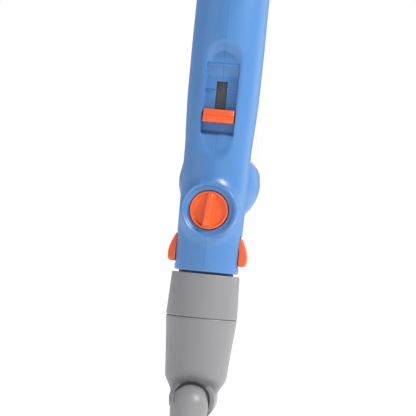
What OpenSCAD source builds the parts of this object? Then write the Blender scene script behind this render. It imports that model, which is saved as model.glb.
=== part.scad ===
// Steam mop: a flat mop head, a neck that tilts and swivels, a steam body with a
// lift-off water tank, and a two-piece pole with a trigger grip.
// Millimetres. +Z is up and +Y points away from the user. The origin lies on the
// floor, under the axis of the round body.

/* [Overall] */
// Height from the floor to the top of the grip
total_h = 1180; // [1040:5:1420]

/* [Head] */
// Width of the pad
head_w = 292; // [240:2:350]
// Depth of the pad, front to back
head_d = 202; // [168:2:242]
// Thickness of the microfibre pad
pad_t = 9; // [6:0.5:12]
// Radius of the head's corners
corner_r = 34; // [26:1:42]
// Wall of the head's cover
cover_wall = 2.5; // [2:0.1:3.5]
// Radius of the hinge pin
hinge_pin_r = 4; // [3:0.1:5]
// Radius of the hinge knuckle
knuckle_r = 11; // [9:0.5:12]
// Width of the hinge knuckle
knuckle_w = 40; // [34:1:48]

/* [Neck] */
// Height of the swivel ring's centre above the hinge
arm_h = 77; // [68:1:92]
// Radius of the trunnion that turns in the swivel ring
trunnion_r = 13.5; // [11:0.1:15]
// Wall of the swivel ring
ring_wall = 6.5; // [5:0.1:8]
// Length of the swivel ring, front to back
ring_len = 34; // [28:1:40]
// Width of the arm below the ring
arm_w = 32.6; // [27:0.2:36]
// Height of the tapered barrel above the ring's centre
barrel_h = 71; // [64:1:85]
// Height of the collar above the barrel
collar_h = 38; // [32:1:45]

/* [Body] */
// Radius of the body at its lower end
tube_r = 28; // [26:0.1:34]
// Length of the body
tube_len = 350; // [345:1:420]
// Wall of the body shells
tube_wall = 2.6; // [2:0.1:3.2]
// Gap between the collar and the body
joint_gap = 2; // [1:0.1:3]
// Height of the steam knob above the body's lower end
knob_h = 52.7; // [50:0.1:58]
// Radius of the steam knob
knob_r = 16.5; // [13:0.1:18]
// Wall of the ring around the knob
bezel_wall = 8; // [5:0.1:8.5]
// Length of a release button
button_len = 25; // [22:0.5:27]
// Width of a release button
button_w = 16; // [12:0.5:18]

/* [Slider] */
// Height of the slider's pocket above the body's lower end
pocket_h = 118.8; // [115:0.1:130]
// Length of the pocket
pocket_len = 62.5; // [58:0.5:70]
// Width of the pocket
pocket_w = 28.3; // [24:0.1:30]
// Width of the slot in the pocket's floor
slot_w = 9.6; // [7:0.1:11]
// Height of the slider's finger bar
bar_h = 11.5; // [9:0.1:14]
// Travel of the slider
slider_travel = 20; // [12:1:22]

/* [Tank] */
// Radius of the round front unit at its widest
front_r = 37; // [34:0.5:40]
// Height of the tank's tip above the widest place
drop_h = 172; // [150:1:200]
// Slope of the seam between tank and cowl, in degrees
seam_slope = 25; // [15:1:30]
// Wall of the tank
tank_wall = 2; // [1.6:0.1:2.6]
// Wall of the cowl
cowl_wall = 2.4; // [2:0.1:3]

/* [Pole and grip] */
// Radius of the lower pole
pole_r = 12.5; // [10.4:0.1:13.5]
// Wall of both poles
pole_wall = 1.2; // [1:0.1:1.6]
// Radius of the grip at the pole
grip_r = 17; // [15.5:0.1:21]
// Length of the grip
grip_len = 137; // [125:1:160]
// Reach of each cord hook from its stem's root to its lip
hook_reach = 27; // [22:1:34]

/* [Fits] */
// Radial clearance of a turning or sliding pin
running_gap = 0.06; // [0.02:0.01:0.09]
// Gap between pieces that move past each other
moving_gap = 0.4; // [0.3:0.05:0.6]
// Gap around a piece that is only placed in its seat
seat_gap = 0.1; // [0.05:0.05:0.2]

/* [Hidden] */
$fn = 72;
cut = 1;
far = 200;

blue = "#5a96dc";
orange = "#f4602f";
grey = "#a2a3a8";
dark = "#4a4e55";
clear_white = [0.93, 0.95, 0.97, 0.6];

// Head levels
strip_t = 1;
base_t = 5;
base_z = pad_t + strip_t;
cover_z = base_z + base_t;
cover_h = 11;
cover_top = cover_z + cover_h;
hinge_z = cover_top + knuckle_r + 1;
hinge_y = -30;
ear_w = 9;
ear_in = knuckle_w / 2 + moving_gap;
strip_l = head_w * 0.6;

// Neck levels
ring_z = hinge_z + arm_h;
ring_r = trunnion_r + ring_wall;
shoulder_z = ring_z + 25;
washer_top = ring_z + trunnion_r + 4.5;
seam_z = ring_z + barrel_h;
collar_top = seam_z + collar_h;
collar_top_r = tube_r + 1.7;
seam_r = tube_r + 3.3;
shoulder_r = tube_r - 1.8;
elbow_r = arm_w / 2;
elbow_y = -ring_len / 2 - elbow_r - moving_gap;
spigot_r = tube_r - 4;

// Body levels
tube_z = collar_top + joint_gap;
knob_z = tube_z + knob_h;
bezel_r = knob_r + 0.5 + bezel_wall;
knob_face_y = -tube_r - 2.5;
knob_back_y = knob_face_y + 7.5;
bezel_face_y = -tube_r - 4.5;
bezel_floor_y = knob_back_y + 1;
bezel_back_y = bezel_floor_y + 3;
knob_tilt = 5;
stem_r = 4;
stem_end_y = 3;
valve_front_y = 10;
valve_half = 13;
nipple_r = 3;
hose_wall = 1.8;

// Tube outline: height above the lower end, and radius over tube_r
tube_steps = [[0, 0], [55, 1], [111, 1.6], [125, 2.5], [153, 3.8], [194, 4.2]];
top_r = tube_r + 4.2;
shoulder_h = 32;
tube_outer_pts = concat(
    [for (p = tube_steps) [tube_r + p[1], tube_z + p[0]]],
    [[top_r, tube_z + tube_len - shoulder_h],
     [top_r - 5, tube_z + tube_len - shoulder_h / 2],
     [top_r - 13, tube_z + tube_len - shoulder_h / 6],
     [pole_r + 3, tube_z + tube_len]]);
tube_inner_pts = concat(
    [[tube_r - tube_wall, tube_z - cut]],
    [for (p = tube_steps) [tube_r + p[1] - tube_wall, tube_z + p[0]]],
    [[top_r - tube_wall, tube_z + tube_len - shoulder_h],
     [pole_r + 3, tube_z + tube_len - shoulder_h / 2 - tube_wall]]);

// Slider levels
pocket_z = tube_z + pocket_h;
pocket_top = pocket_z + pocket_len;
pocket_y = -(tube_r - 7.5);
pocket_wall = 2.4;
recess_y = -(tube_r - 3.4);
recess_w = pocket_w + 9.7;
recess_z = pocket_z - 23.6;
recess_top = pocket_top + 19.6;
bar_z = pocket_z + 10;
stem_h = 8;
slot_z = bar_z + bar_h / 2 - stem_h / 2 - 2;
slot_top = bar_z + bar_h / 2 + stem_h / 2 + slider_travel + 7;
carrier_y = pocket_y + pocket_wall + moving_gap;
carrier_t = 1.8;

// Release buttons
button_z = tube_z + 7;
button_top = button_z + button_len;
button_pin_r = 1.5;
button_pin_x = tube_r - 4.5;
button_pin_z = button_top - 2.5;
button_pin_l = button_w + 8;
tower_x = tube_r - 12;
tower_top = button_z + 18;
spigot_top = button_z - 1.5;
spigot_z = seam_z + 6;
spring_z = button_z + 7;

// Front unit
front_z = knob_z + 29.3;
front_y = top_r + 9.8;
tip_r = 8.5;
tip_z = front_z + drop_h - tip_r;
junction_z = front_z + 12;
junction_y = front_y - 4;
gasket_t = 0.8;
tank_gap = 0.3;
saddle_r = top_r + 1;
boiler_r = front_r / 2;
boiler_z = front_z - front_r * 0.76;
boiler_h = front_r * 0.52;
cap_r = 12;
cap_h = 10;
cap_y = front_y + 5;
cap_z = junction_z - 11.5;
neck_out_r = cap_r - 2.4;
neck_in_r = neck_out_r - 2;
socket_r = cap_r + moving_gap + 1;

// Pole and grip levels
pole_z = tube_z + tube_len - 56;
upper_r = pole_r - pole_wall - seat_gap;
grip_z = total_h - grip_len;
pole_mid = (tube_z + tube_len + grip_z) / 2;
pole_join = pole_mid - 8;
latch_r = 4;
latch_z = pole_join - 30;
hook_z = grip_z - 110;
hook_stem_r = 7;
hook_lip_t = 6;
hook_lip_l = 28;
hook_lip_w = 18;
clamp_r = upper_r + 4.6;
hook_root_y = -clamp_r - 4;
low_hook_z = tube_z + tube_len - 56;
inlet_z = low_hook_z + 22;
inlet_r = 3.6;
grip_mid_z = grip_z + grip_len * 0.4;
grip_mid_y = -6;
grip_mid_r = grip_r + 2;
grip_tip_y = -34;
grip_tip_z = total_h - grip_r;
grip_wall = 2.4;
trigger_w = 14;
trigger_pin_r = 2;
trigger_pin_y = -4;
trigger_pin_z = grip_mid_z + 19;
screw_r = 1.5;
screw_head_r = 3;
screw_y = tube_r - 10;
screw_zs = [tube_z + 119, tube_z + 199, tube_z + 294];

// ---- shared shapes ----

// Cylinder along +Y from y0 to y1
module rod_y(r, y0, y1) translate([0, y0, 0]) rotate([-90, 0, 0]) cylinder(r = r, h = y1 - y0);

// Cylinder along +X from x0 to x1
module rod_x(r, x0, x1) translate([x0, 0, 0]) rotate([0, 90, 0]) cylinder(r = r, h = x1 - x0);

// Ring around Z
module ring(r_out, r_in, h)
    difference() {
        cylinder(r = r_out, h = h);
        translate([0, 0, -cut]) cylinder(r = r_in, h = h + 2 * cut);
    }

// Centres of the head's corner rounds, anticlockwise from the front right
head_corners = [
    [head_w * 0.15, head_d / 2 - corner_r + 5], [-head_w * 0.15, head_d / 2 - corner_r + 5],
    [-head_w / 2 + corner_r, -head_d / 2 + corner_r + 5],
    [head_w / 2 - corner_r, -head_d / 2 + corner_r + 5]];
corner_steps = 10;

// Direction square to the edge that runs from corner i to the next, pointing outwards
function edge_angle(i) =
    let (d = head_corners[(i + 1) % 4] - head_corners[i % 4]) atan2(-d[0], d[1]);

// The head's outline: a round at each corner, from one edge's direction to the next one's
module head_outline(inset)
    polygon([for (i = [0 : 3])
        let (from = edge_angle(i + 3), turn = (edge_angle(i) - from + 360) % 360)
        for (k = [0 : corner_steps])
            let (a = from + turn * k / corner_steps)
            head_corners[i] + (corner_r - inset) * [cos(a), sin(a)]]);

module head_slab(inset, z0, h) translate([0, 0, z0]) linear_extrude(h) head_outline(inset);

// Upright obround prism along Y, round at both ends
module obround_y(w, z0, z1, y0, y1) {
    for (z = [z0 + w / 2, z1 - w / 2]) translate([0, 0, z]) rod_y(w / 2, y0, y1);
    translate([-w / 2, y0, z0 + w / 2]) cube([w, y1 - y0, z1 - z0 - w]);
}

module box(x0, x1, y0, y1, z0, z1) translate([x0, y0, z0]) cube([x1 - x0, y1 - y0, z1 - z0]);

// A tube swept along a list of points, with sides facing a fixed direction
function unit(v) = v / norm(v);
function along(pts, i) = unit(pts[min(i + 1, len(pts) - 1)] - pts[max(i - 1, 0)]);
function ring_at(c, dir, r, sides, ref) =
    let (u = unit(cross(dir, ref)), v = cross(dir, u))
    [for (k = [0 : sides - 1]) c + r * (cos(360 * k / sides) * u + sin(360 * k / sides) * v)];
module swept(pts, r, sides, ref) {
    n = len(pts);
    body = [for (i = [0 : n - 1]) each ring_at(pts[i], along(pts, i), r, sides, ref)];
    walls = [for (i = [0 : n - 2]) for (k = [0 : sides - 1])
        let (a = i * sides + k, b = i * sides + (k + 1) % sides)
        [a, a + sides, b + sides, b]];
    first = [for (k = [0 : sides - 1]) k];
    last = [for (k = [0 : sides - 1]) n * sides - 1 - k];
    polyhedron(body, concat(walls, [first], [last]));
}

// A coil spring along +Z
module coil(r, wire_r, h, turns) {
    steps = turns * 12;
    swept([for (i = [0 : steps])
        [r * cos(30 * i), r * sin(30 * i), wire_r + (h - 2 * wire_r) * i / steps]],
        wire_r, 6, [0, 0, 1]);
}

// ---- head ----

module microfiber_pad() color("whitesmoke") head_slab(0, 0, pad_t);

module hook_strips() color("dimgray")
    for (y = [-head_d * 0.27, head_d * 0.05])
        box(-strip_l / 2, strip_l / 2, y - 10, y + 10, pad_t, base_z);

module head_base_plate() color(dark)
    difference() {
        head_slab(5, base_z, base_t);
        for (x = [-4 : 4]) translate([x * head_w / 14, -head_d * 0.11, base_z - cut])
            cylinder(r = 1.5, h = base_t + 2 * cut);
    }

module head_bumper() color("slategray")
    difference() {
        head_slab(1, base_z, base_t);
        head_slab(5 - seat_gap, base_z - cut, base_t + 2 * cut);
    }

module steam_distributor() color("lightgray")
    difference() {
        box(-head_w * 0.32, head_w * 0.32, -head_d * 0.11 - 9, -head_d * 0.11 + 9, cover_z, cover_z + 5);
        box(-head_w * 0.31, head_w * 0.31, -head_d * 0.11 - 7, -head_d * 0.11 + 7,
            cover_z - cut, cover_z + 3.5);
    }

module head_screw_spots() for (x = [-1, 1]) for (y = [-head_d * 0.27, head_d * 0.18])
    translate([x * head_w * 0.16, y, 0]) children();

module head_top_cover() color(grey)
    difference() {
        union() {
            difference() {
                union() {
                    head_slab(6, cover_z, cover_h - 5);
                    head_slab(10, cover_z, cover_h - 2);
                    head_slab(16, cover_z, cover_h);
                }
                head_slab(6 + cover_wall, cover_z - cut, cover_h - cover_wall - 3 + cut);
            }
            for (s = [-1, 1]) {
                x0 = s > 0 ? ear_in : -ear_in - ear_w;
                translate([0, hinge_y, hinge_z]) rod_x(knuckle_r, x0, x0 + ear_w);
                box(x0, x0 + ear_w, hinge_y - knuckle_r, hinge_y + knuckle_r, cover_top - cut, hinge_z);
            }
            head_screw_spots() translate([0, 0, cover_z]) ring(4, screw_r + seat_gap, cover_h - 4);
        }
        translate([0, hinge_y, hinge_z]) rod_x(hinge_pin_r + 0.02, -far, far);
        head_screw_spots() translate([0, 0, cover_z - cut]) cylinder(r = screw_r + seat_gap, h = 6);
    }

module head_screws() color("silver")
    head_screw_spots() translate([0, 0, cover_z]) cylinder(r = screw_r, h = 4.5);

module head_hinge_pin() color("silver")
    translate([0, hinge_y, hinge_z])
        rod_x(hinge_pin_r, -ear_in - ear_w, ear_in + ear_w);

// ---- arm: tilts on the head, carries the swivel trunnion ----

module swivel_arm() color(grey)
    difference() {
        union() {
            translate([0, 0, ring_z]) rod_y(trunnion_r, elbow_y, ring_len / 2 + 0.3);
            hull() {
                translate([0, elbow_y, ring_z - 3]) sphere(r = elbow_r, $fn = 32);
                translate([0, hinge_y, hinge_z + 22]) cylinder(r = elbow_r - 3.5, h = 2, $fn = 32);
            }
            hull() {
                translate([0, hinge_y, hinge_z + 22]) cylinder(r = elbow_r - 3.5, h = 2, $fn = 32);
                box(-elbow_r + 2, elbow_r - 2, hinge_y - knuckle_r + 3, hinge_y + knuckle_r - 3,
                    hinge_z, hinge_z + 2);
            }
            translate([0, hinge_y, hinge_z]) rod_x(knuckle_r, -knuckle_w / 2, knuckle_w / 2);
        }
        translate([0, hinge_y, hinge_z]) rod_x(hinge_pin_r + running_gap, -far, far);
        translate([0, 0, ring_z]) {
            rod_y(2.5, -5, far);
            difference() {
                rod_y(trunnion_r + cut, -1.1, 1.1);
                rod_y(trunnion_r - 2, -1.1 - cut, 1.1 + cut);
            }
        }
    }

module swivel_o_ring() color("black")
    translate([0, 0, ring_z]) rotate([90, 0, 0])
        rotate_extrude() translate([trunnion_r - 1, 0]) circle(r = 0.9, $fn = 24);

module swivel_washer() color("silver")
    translate([0, ring_len / 2 + 0.3, ring_z]) rotate([-90, 0, 0]) ring(trunnion_r + 3, 2.6, 2);

module swivel_screw() color("silver")
    translate([0, 0, ring_z]) {
        rod_y(2.4, -3, ring_len / 2 + 2.3);
        rod_y(5.5, ring_len / 2 + 2.3, ring_len / 2 + 5.5);
    }

// ---- neck ----

module neck_barrel() color(grey)
    difference() {
        union() {
            hull() {
                translate([0, 0, ring_z]) rod_y(ring_r, -ring_len / 2, ring_len / 2, $fn = 64);
                intersection() {
                    translate([0, 0, shoulder_z]) cylinder(r = shoulder_r, h = 1, $fn = 64);
                    box(-far, far, -ring_len / 2, ring_len / 2, 0, far);
                }
            }
            translate([0, 0, washer_top])
                cylinder(r1 = ring_len / 2, r2 = shoulder_r, h = shoulder_z - washer_top);
            translate([0, 0, shoulder_z])
                cylinder(r1 = shoulder_r, r2 = seam_r, h = seam_z - shoulder_z);
        }
        translate([0, 0, shoulder_z + 5]) cylinder(r = shoulder_r - 5, h = far);
        translate([0, 0, ring_z]) {
            rod_y(trunnion_r + running_gap, -far, far);
            rod_y(trunnion_r + 0.9, -far, -ring_len / 2 + 3);
        }
    }

module neck_collar() color(grey)
    translate([0, 0, seam_z])
        difference() {
            cylinder(r1 = seam_r, r2 = collar_top_r, h = collar_h);
            translate([0, 0, -cut]) cylinder(r = spigot_r + moving_gap, h = collar_h + 2 * cut);
        }

module neck_steam_tube() color("dimgray")
    translate([0, 0, shoulder_z + 5]) ring(8, 5 + seat_gap, collar_top - 10 - shoulder_z - 5);

module body_spigot() color("midnightblue")
    difference() {
        union() {
            translate([0, 0, spigot_z]) cylinder(r = spigot_r, h = spigot_top - spigot_z);
            box(-tower_x, tower_x, -7, 7, spigot_top - cut, tower_top);
        }
        translate([0, 0, spigot_z - cut]) cylinder(r = spigot_r - 2.5, h = spigot_top - spigot_z - 2);
        translate([0, 0, spigot_z]) cylinder(r = 5 + seat_gap, h = far);
    }

module steam_nozzle() color("goldenrod") {
    translate([0, 0, collar_top - 28]) ring(5, 2, tower_top - collar_top + 28);
    translate([0, 0, tower_top]) ring(nipple_r, 2, 4);
}

// ---- body ----

module tube_outer() rotate_extrude() polygon(concat([[0, tube_z]], tube_outer_pts,
    [[0, tube_z + tube_len]]));

module tube_inner() rotate_extrude() polygon(concat([[0, tube_z - cut]], tube_inner_pts,
    [[0, tube_z + tube_len - shoulder_h / 2 - tube_wall]]));

module body_case()
    difference() {
        union() {
            difference() {
                tube_outer();
                tube_inner();
            }
            intersection() {
                tube_outer();
                box(-recess_w / 2 + 1, recess_w / 2 - 1, -far, pocket_y + pocket_wall,
                    recess_z - 3, recess_top + 3);
            }
            for (z = screw_zs) intersection() {
                tube_outer();
                translate([0, screw_y, z]) rod_x(screw_head_r + 1.8, -far, far);
            }
        }
        obround_y(recess_w, recess_z, recess_top, -far, recess_y);
        box(-pocket_w / 2, pocket_w / 2, -far, pocket_y, pocket_z, pocket_top);
        box(-slot_w / 2, slot_w / 2, -far, 0, slot_z, slot_top);
        translate([0, 0, knob_z]) rod_y(bezel_r + seat_gap, -far, -tube_r / 3);
        for (s = [-1, 1]) {
            x0 = s > 0 ? tube_r - 10 : -far;
            box(x0, x0 + far - tube_r + 10, -button_w / 2 - moving_gap, button_w / 2 + moving_gap,
                button_z - 1.5, button_top + 1.5);
            translate([s * button_pin_x, 0, button_pin_z])
                rod_y(button_pin_r + seat_gap, -button_pin_l / 2 - seat_gap, button_pin_l / 2 + seat_gap);
        }
        box(-boiler_r - 3.5, boiler_r + 3.5, tube_r / 4, far, boiler_z - 4, junction_z - 4);
        for (z = screw_zs) translate([0, screw_y, z]) {
            rod_x(screw_r + seat_gap, -far, 14);
            rod_x(screw_head_r + seat_gap, -far, -16);
        }
        translate([0, 0, pole_z - cut]) cylinder(r = pole_r + seat_gap, h = far);
        translate([0, 0, inlet_z]) rod_y(inlet_r + 3.5, -far, 0);
        translate([0, 0, low_hook_z]) rod_y(3 + seat_gap, -far, 0);
    }

module body_shell_left() color(blue)
    intersection() {
        body_case();
        box(-far, 0, -far, far, tube_z - cut, tube_z + tube_len + cut);
    }

module body_shell_right() color(blue)
    intersection() {
        body_case();
        box(0, far, -far, far, tube_z - cut, tube_z + tube_len + cut);
    }

module screw_x(x_head, x_end) {
    rod_x(screw_r, x_head, x_end);
    rod_x(screw_head_r, x_head - 2.2, x_head);
}

module body_screws() color("silver")
    for (z = screw_zs) translate([0, screw_y, z]) screw_x(-16, 12);

// A button for the right side: its lower end stands proud, its upper end turns on a pin
module release_button()
    difference() {
        union() {
            rotate([90, 0, 0]) linear_extrude(button_w, center = true) polygon([
                [button_pin_x - 2.5, button_top - 1], [tube_r + 0.5, button_top - 0.5],
                [tube_r + 4, button_z + button_len * 0.55], [tube_r + 6.8, button_z + 3],
                [tube_r + 5.6, button_z], [tube_r, button_z], [tube_r, button_z + 14],
                [button_pin_x - 2.5, button_top - 6]]);
            translate([button_pin_x, 0, button_pin_z]) rod_y(2.5, -button_w / 2, button_w / 2);
        }
        translate([button_pin_x, 0, button_pin_z]) rod_y(button_pin_r + running_gap, -far, far);
    }

module release_button_right() color(orange) release_button();
module release_button_left() color(orange) mirror([1, 0, 0]) release_button();

module release_spring() translate([tower_x + seat_gap, 0, spring_z]) rotate([0, 90, 0])
    coil(3.5, 0.4, tube_r - tower_x - 2 * seat_gap, 5);

module release_spring_right() color("silver") release_spring();
module release_spring_left() color("silver") mirror([1, 0, 0]) release_spring();

module release_pins() color("silver")
    for (s = [-1, 1]) translate([s * button_pin_x, 0, button_pin_z])
        rod_y(button_pin_r, -button_pin_l / 2, button_pin_l / 2);

// ---- steam valve and its knob ----

module knob_bezel() color(blue)
    translate([0, 0, knob_z]) difference() {
        rod_y(bezel_r, bezel_face_y, bezel_back_y);
        rod_y(knob_r + 0.5, bezel_face_y - cut, bezel_floor_y);
        rod_y(stem_r + moving_gap, bezel_face_y, far);
    }

module steam_knob() color(orange)
    translate([0, 0, knob_z]) difference() {
        union() {
            rod_y(knob_r, knob_face_y + 1.5, knob_back_y);
            difference() {
                rod_y(knob_r, knob_face_y, knob_back_y);
                rod_y(knob_r - 2, knob_face_y - cut, knob_back_y);
            }
            rotate([0, knob_tilt, 0])
                box(-3.8, 3.8, knob_face_y - 4, knob_back_y, -knob_r + 0.6, knob_r - 0.6);
        }
        rod_y(stem_r + 0.05, knob_back_y - 4, knob_back_y + cut);
    }

module valve_stem() color("goldenrod")
    translate([0, 0, knob_z]) rod_y(stem_r, knob_back_y - 4, stem_end_y);

module valve_body() color("goldenrod")
    translate([0, 0, knob_z]) {
        difference() {
            box(-11, 11, bezel_back_y + 1, valve_front_y, -valve_half, valve_half);
            rod_y(stem_r + running_gap, -far, stem_end_y + 1);
        }
        translate([0, 0, -valve_half - 5]) ring(nipple_r, 2, 5);
        translate([0, valve_front_y, boiler_z + boiler_h / 2 - knob_z]) rotate([-90, 0, 0])
            ring(nipple_r, 2, 4);
    }

module steam_hose() color("dimgray")
    translate([0, 0, tower_top + seat_gap])
        ring(nipple_r + hose_wall, nipple_r + seat_gap,
            knob_z - valve_half - tower_top - 2 * seat_gap);

module boiler_hose() color("dimgray")
    translate([0, valve_front_y + seat_gap, boiler_z + boiler_h / 2]) rotate([-90, 0, 0])
        ring(nipple_r + hose_wall, nipple_r + seat_gap,
            front_y - 1.5 - boiler_r - valve_front_y - 2 * seat_gap);

// ---- steam slider ----

module steam_slider() color(orange) {
    box(-pocket_w / 2 + 0.65, pocket_w / 2 - 0.65, -tube_r - 2.2, pocket_y - moving_gap,
        bar_z, bar_z + bar_h);
    box(-slot_w / 2 + moving_gap, slot_w / 2 - moving_gap, pocket_y - moving_gap - cut, carrier_y,
        bar_z + (bar_h - stem_h) / 2, bar_z + (bar_h + stem_h) / 2);
}

module slider_carrier() color(dark)
    box(-7, 7, carrier_y, carrier_y + carrier_t,
        slot_z - slider_travel - 3, slot_top + 8);

module slider_rod() color("silver")
    translate([0, carrier_y + carrier_t + 1.6, bar_z]) cylinder(r = 1.5, h = 78);

module pump() color("gainsboro")
    translate([0, 6, pole_z - 82]) {
        cylinder(r = 13, h = 60);
        translate([0, 0, -6]) ring(nipple_r, 2, 6);
    }

// Water hose from the tank's socket up to the pump
hose_low = [0, cap_y - socket_r - 2.5, cap_z + 4];
hose_high = [0, 6, pole_z - 88];
module suction_hose() color("lightgray")
    swept([
        hose_low, hose_low + [0, -4, 0], hose_low + [0, -8, 0.5], hose_low + [0, -12, 2.5],
        [0, 11, cap_z + 11], [0, 8, cap_z + 19], [0, 6.5, cap_z + 30], [0, 6, cap_z + 45],
        hose_high - [0, 0, 20], hose_high], nipple_r, 8, [1, 0, 0]);

// ---- front unit: cowl, boiler and tank share one drop-shaped outline ----

module front_drop(inset) {
    slope = asin((front_r - tip_r) / (tip_z - front_z));
    low = front_r - inset;
    top = tip_r - inset;
    tip = tip_z - front_z;
    translate([0, front_y, front_z]) rotate_extrude() intersection() {
        union() {
            circle(r = low);
            translate([0, tip]) circle(r = top);
            polygon([
                [0, 0], [low * cos(slope), low * sin(slope)],
                [top * cos(slope), tip + top * sin(slope)], [0, tip]]);
        }
        translate([0, -far]) square([far, 3 * far]);
    }
}

// Everything above the sloping seam, raised by lift
module above_seam(lift)
    translate([0, junction_y, junction_z + lift]) rotate([-seam_slope, 0, 0])
        translate([-far, -far, 0]) cube([2 * far, 2 * far, 2 * far]);

// Hollow of the cowl, under its sloping top and around the tank's socket
module cowl_hollow()
    difference() {
        translate([0, front_y, front_z]) sphere(r = front_r - cowl_wall);
        above_seam(-cowl_wall);
        translate([0, cap_y, cap_z - 2.5]) cylinder(r = socket_r + 2, h = far);
    }

module boiler_cowl() color(blue)
    difference() {
        front_drop(0);
        above_seam(0);
        cowl_hollow();
        tube_outer();
        translate([0, cap_y, cap_z - 0.5]) cylinder(r = socket_r, h = far);
    }

module boiler() color("silver")
    translate([0, front_y - 1.5, boiler_z]) {
        cylinder(r = boiler_r, h = boiler_h);
        translate([0, -boiler_r - 4 + seat_gap, boiler_h / 2]) rotate([-90, 0, 0])
            ring(nipple_r, 2, 8);
    }

module thermostat() color("dimgray")
    translate([0, front_y - 1.5, boiler_z + boiler_h]) cylinder(r = 8, h = 3.5);

module tank_gasket() color(orange)
    difference() {
        intersection() {
            front_drop(-0.4);
            above_seam(0);
        }
        above_seam(gasket_t);
        front_drop(cowl_wall + 1);
        cylinder(r = saddle_r, h = 3 * far);
    }

module water_tank() color(clear_white)
    difference() {
        union() {
            difference() {
                intersection() {
                    front_drop(0);
                    above_seam(gasket_t + tank_gap);
                }
                cylinder(r = saddle_r, h = 4 * far);
                difference() {
                    intersection() {
                        front_drop(tank_wall);
                        above_seam(gasket_t + tank_gap + tank_wall);
                    }
                    cylinder(r = saddle_r + tank_wall, h = 4 * far);
                    translate([0, cap_y, cap_z - 2])
                        cylinder(r = cap_r + moving_gap + tank_wall, h = cap_h + 5);
                }
                translate([0, cap_y, cap_z - far])
                    cylinder(r = cap_r + moving_gap, h = cap_h + 0.6 + far);
            }
            translate([0, cap_y, cap_z + 2.6]) cylinder(r = neck_out_r, h = cap_h);
        }
        translate([0, cap_y, cap_z]) cylinder(r = neck_in_r, h = cap_h + 6);
    }

module tank_cap() color(orange)
    translate([0, cap_y, cap_z]) difference() {
        cylinder(r = cap_r, h = cap_h);
        translate([0, 0, 2]) cylinder(r = neck_out_r + running_gap, h = cap_h);
        translate([0, 0, -cut]) cylinder(r = 3, h = 4);
    }

module tank_valve() color("goldenrod")
    translate([0, cap_y, cap_z]) {
        cylinder(r = 2.6, h = 8);
        translate([0, 0, 2.7]) cylinder(r = 5, h = 1.5);
    }

// ---- pole ----

module pole_lower() color("silver")
    translate([0, 0, pole_z]) difference() {
        ring(pole_r, pole_r - pole_wall, pole_join - pole_z);
        translate([0, 0, latch_z - pole_z]) rod_y(latch_r + running_gap, -far, 0);
    }

module pole_upper() color("silver")
    difference() {
        translate([0, 0, latch_z - 18])
            ring(upper_r, upper_r - pole_wall, grip_z + 20 - latch_z + 18);
        translate([0, 0, latch_z]) rod_y(latch_r + running_gap, -far, 0);
    }

module pole_collar() color(dark)
    difference() {
        translate([0, 0, pole_join - 18]) cylinder(r = pole_r + 3.5, h = 32);
        translate([0, 0, pole_join - 18 - cut]) cylinder(r = pole_r + seat_gap, h = 18 + cut);
        cylinder(r = upper_r + seat_gap, h = 2 * total_h);
    }

module pole_button() color("silver")
    translate([0, 0, latch_z]) {
        rod_y(latch_r, -pole_r - 2.8, -upper_r + pole_wall + 2);
    }

module pole_button_spring() color("silver")
    translate([0, 0, latch_z]) rotate([90, 0, 90]) linear_extrude(6, center = true) polygon([
        [-upper_r + pole_wall + 2.2, -7], [-upper_r + pole_wall + 2.2, 6], [0, 13],
        [upper_r - pole_wall - 1.4, 6], [upper_r - pole_wall - 1.4, -12],
        [upper_r - pole_wall - 2.2, -12], [upper_r - pole_wall - 2.2, 5.6], [0, 12],
        [-upper_r + pole_wall + 3, 5.6], [-upper_r + pole_wall + 3, -7]]);

// A hook along -Y: stem, then a lip that points up
module cord_hook(root_y) {
    rod_y(hook_stem_r, root_y - hook_reach, root_y);
    lip_y = root_y - hook_reach - hook_lip_t;
    box(-hook_lip_w / 2, hook_lip_w / 2, lip_y, lip_y + hook_lip_t, -hook_stem_r - 1, hook_lip_l);
}

module cord_hook_lower() color(blue)
    translate([0, 0, low_hook_z]) {
        mirror([0, 0, 1]) cord_hook(-top_r + 0.6 - 1.5);
        rod_y(hook_stem_r + 3, -top_r - 1.5, -top_r);
        rod_y(3, -top_r - 1, -top_r + tube_wall + 2);
    }

module hook_clamp() color(dark)
    translate([0, 0, hook_z]) difference() {
        union() {
            translate([0, 0, -12]) cylinder(r = clamp_r, h = 24);
            rod_y(hook_stem_r + 2, hook_root_y + moving_gap, 0);
        }
        translate([0, 0, -far]) cylinder(r = upper_r + seat_gap, h = 2 * far);
        rod_y(3 + running_gap, -far, 0);
    }

module cord_hook_upper() color(dark)
    translate([0, 0, hook_z]) {
        cord_hook(hook_root_y);
        rod_y(3, hook_root_y - cut, -upper_r - 1);
    }

module cord_inlet() color("dimgray")
    translate([0, 0, inlet_z]) difference() {
        union() {
            rod_y(inlet_r + 3.4, -top_r - 9, -top_r + tube_wall);
            rod_y(inlet_r + 5, -top_r - 1.5, -top_r - 0.2);
        }
        rod_y(inlet_r, -far, 0);
    }

// ---- grip ----

// Two blended lengths: the straight part over the pole and the part that leans back
module grip_form(inset) {
    hull() {
        translate([0, 0, grip_z + grip_r]) sphere(r = grip_r - inset, $fn = 28);
        translate([0, grip_mid_y, grip_mid_z]) sphere(r = grip_mid_r - inset, $fn = 28);
    }
    hull() {
        translate([0, grip_mid_y, grip_mid_z]) sphere(r = grip_mid_r - inset, $fn = 28);
        translate([0, grip_tip_y, grip_tip_z]) sphere(r = grip_r - inset, $fn = 28);
    }
}

module grip_case()
    difference() {
        grip_form(0);
        grip_form(grip_wall);
        translate([0, 0, grip_z - cut]) cylinder(r = upper_r + seat_gap, h = grip_r);
        box(-trigger_w / 2 - 0.6, trigger_w / 2 + 0.6, trigger_pin_y - 2.5, far,
            trigger_pin_z - 50, trigger_pin_z + 7);
        translate([0, 0, grip_z + 22]) rod_y(3.6, -far, 0);
    }

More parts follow.
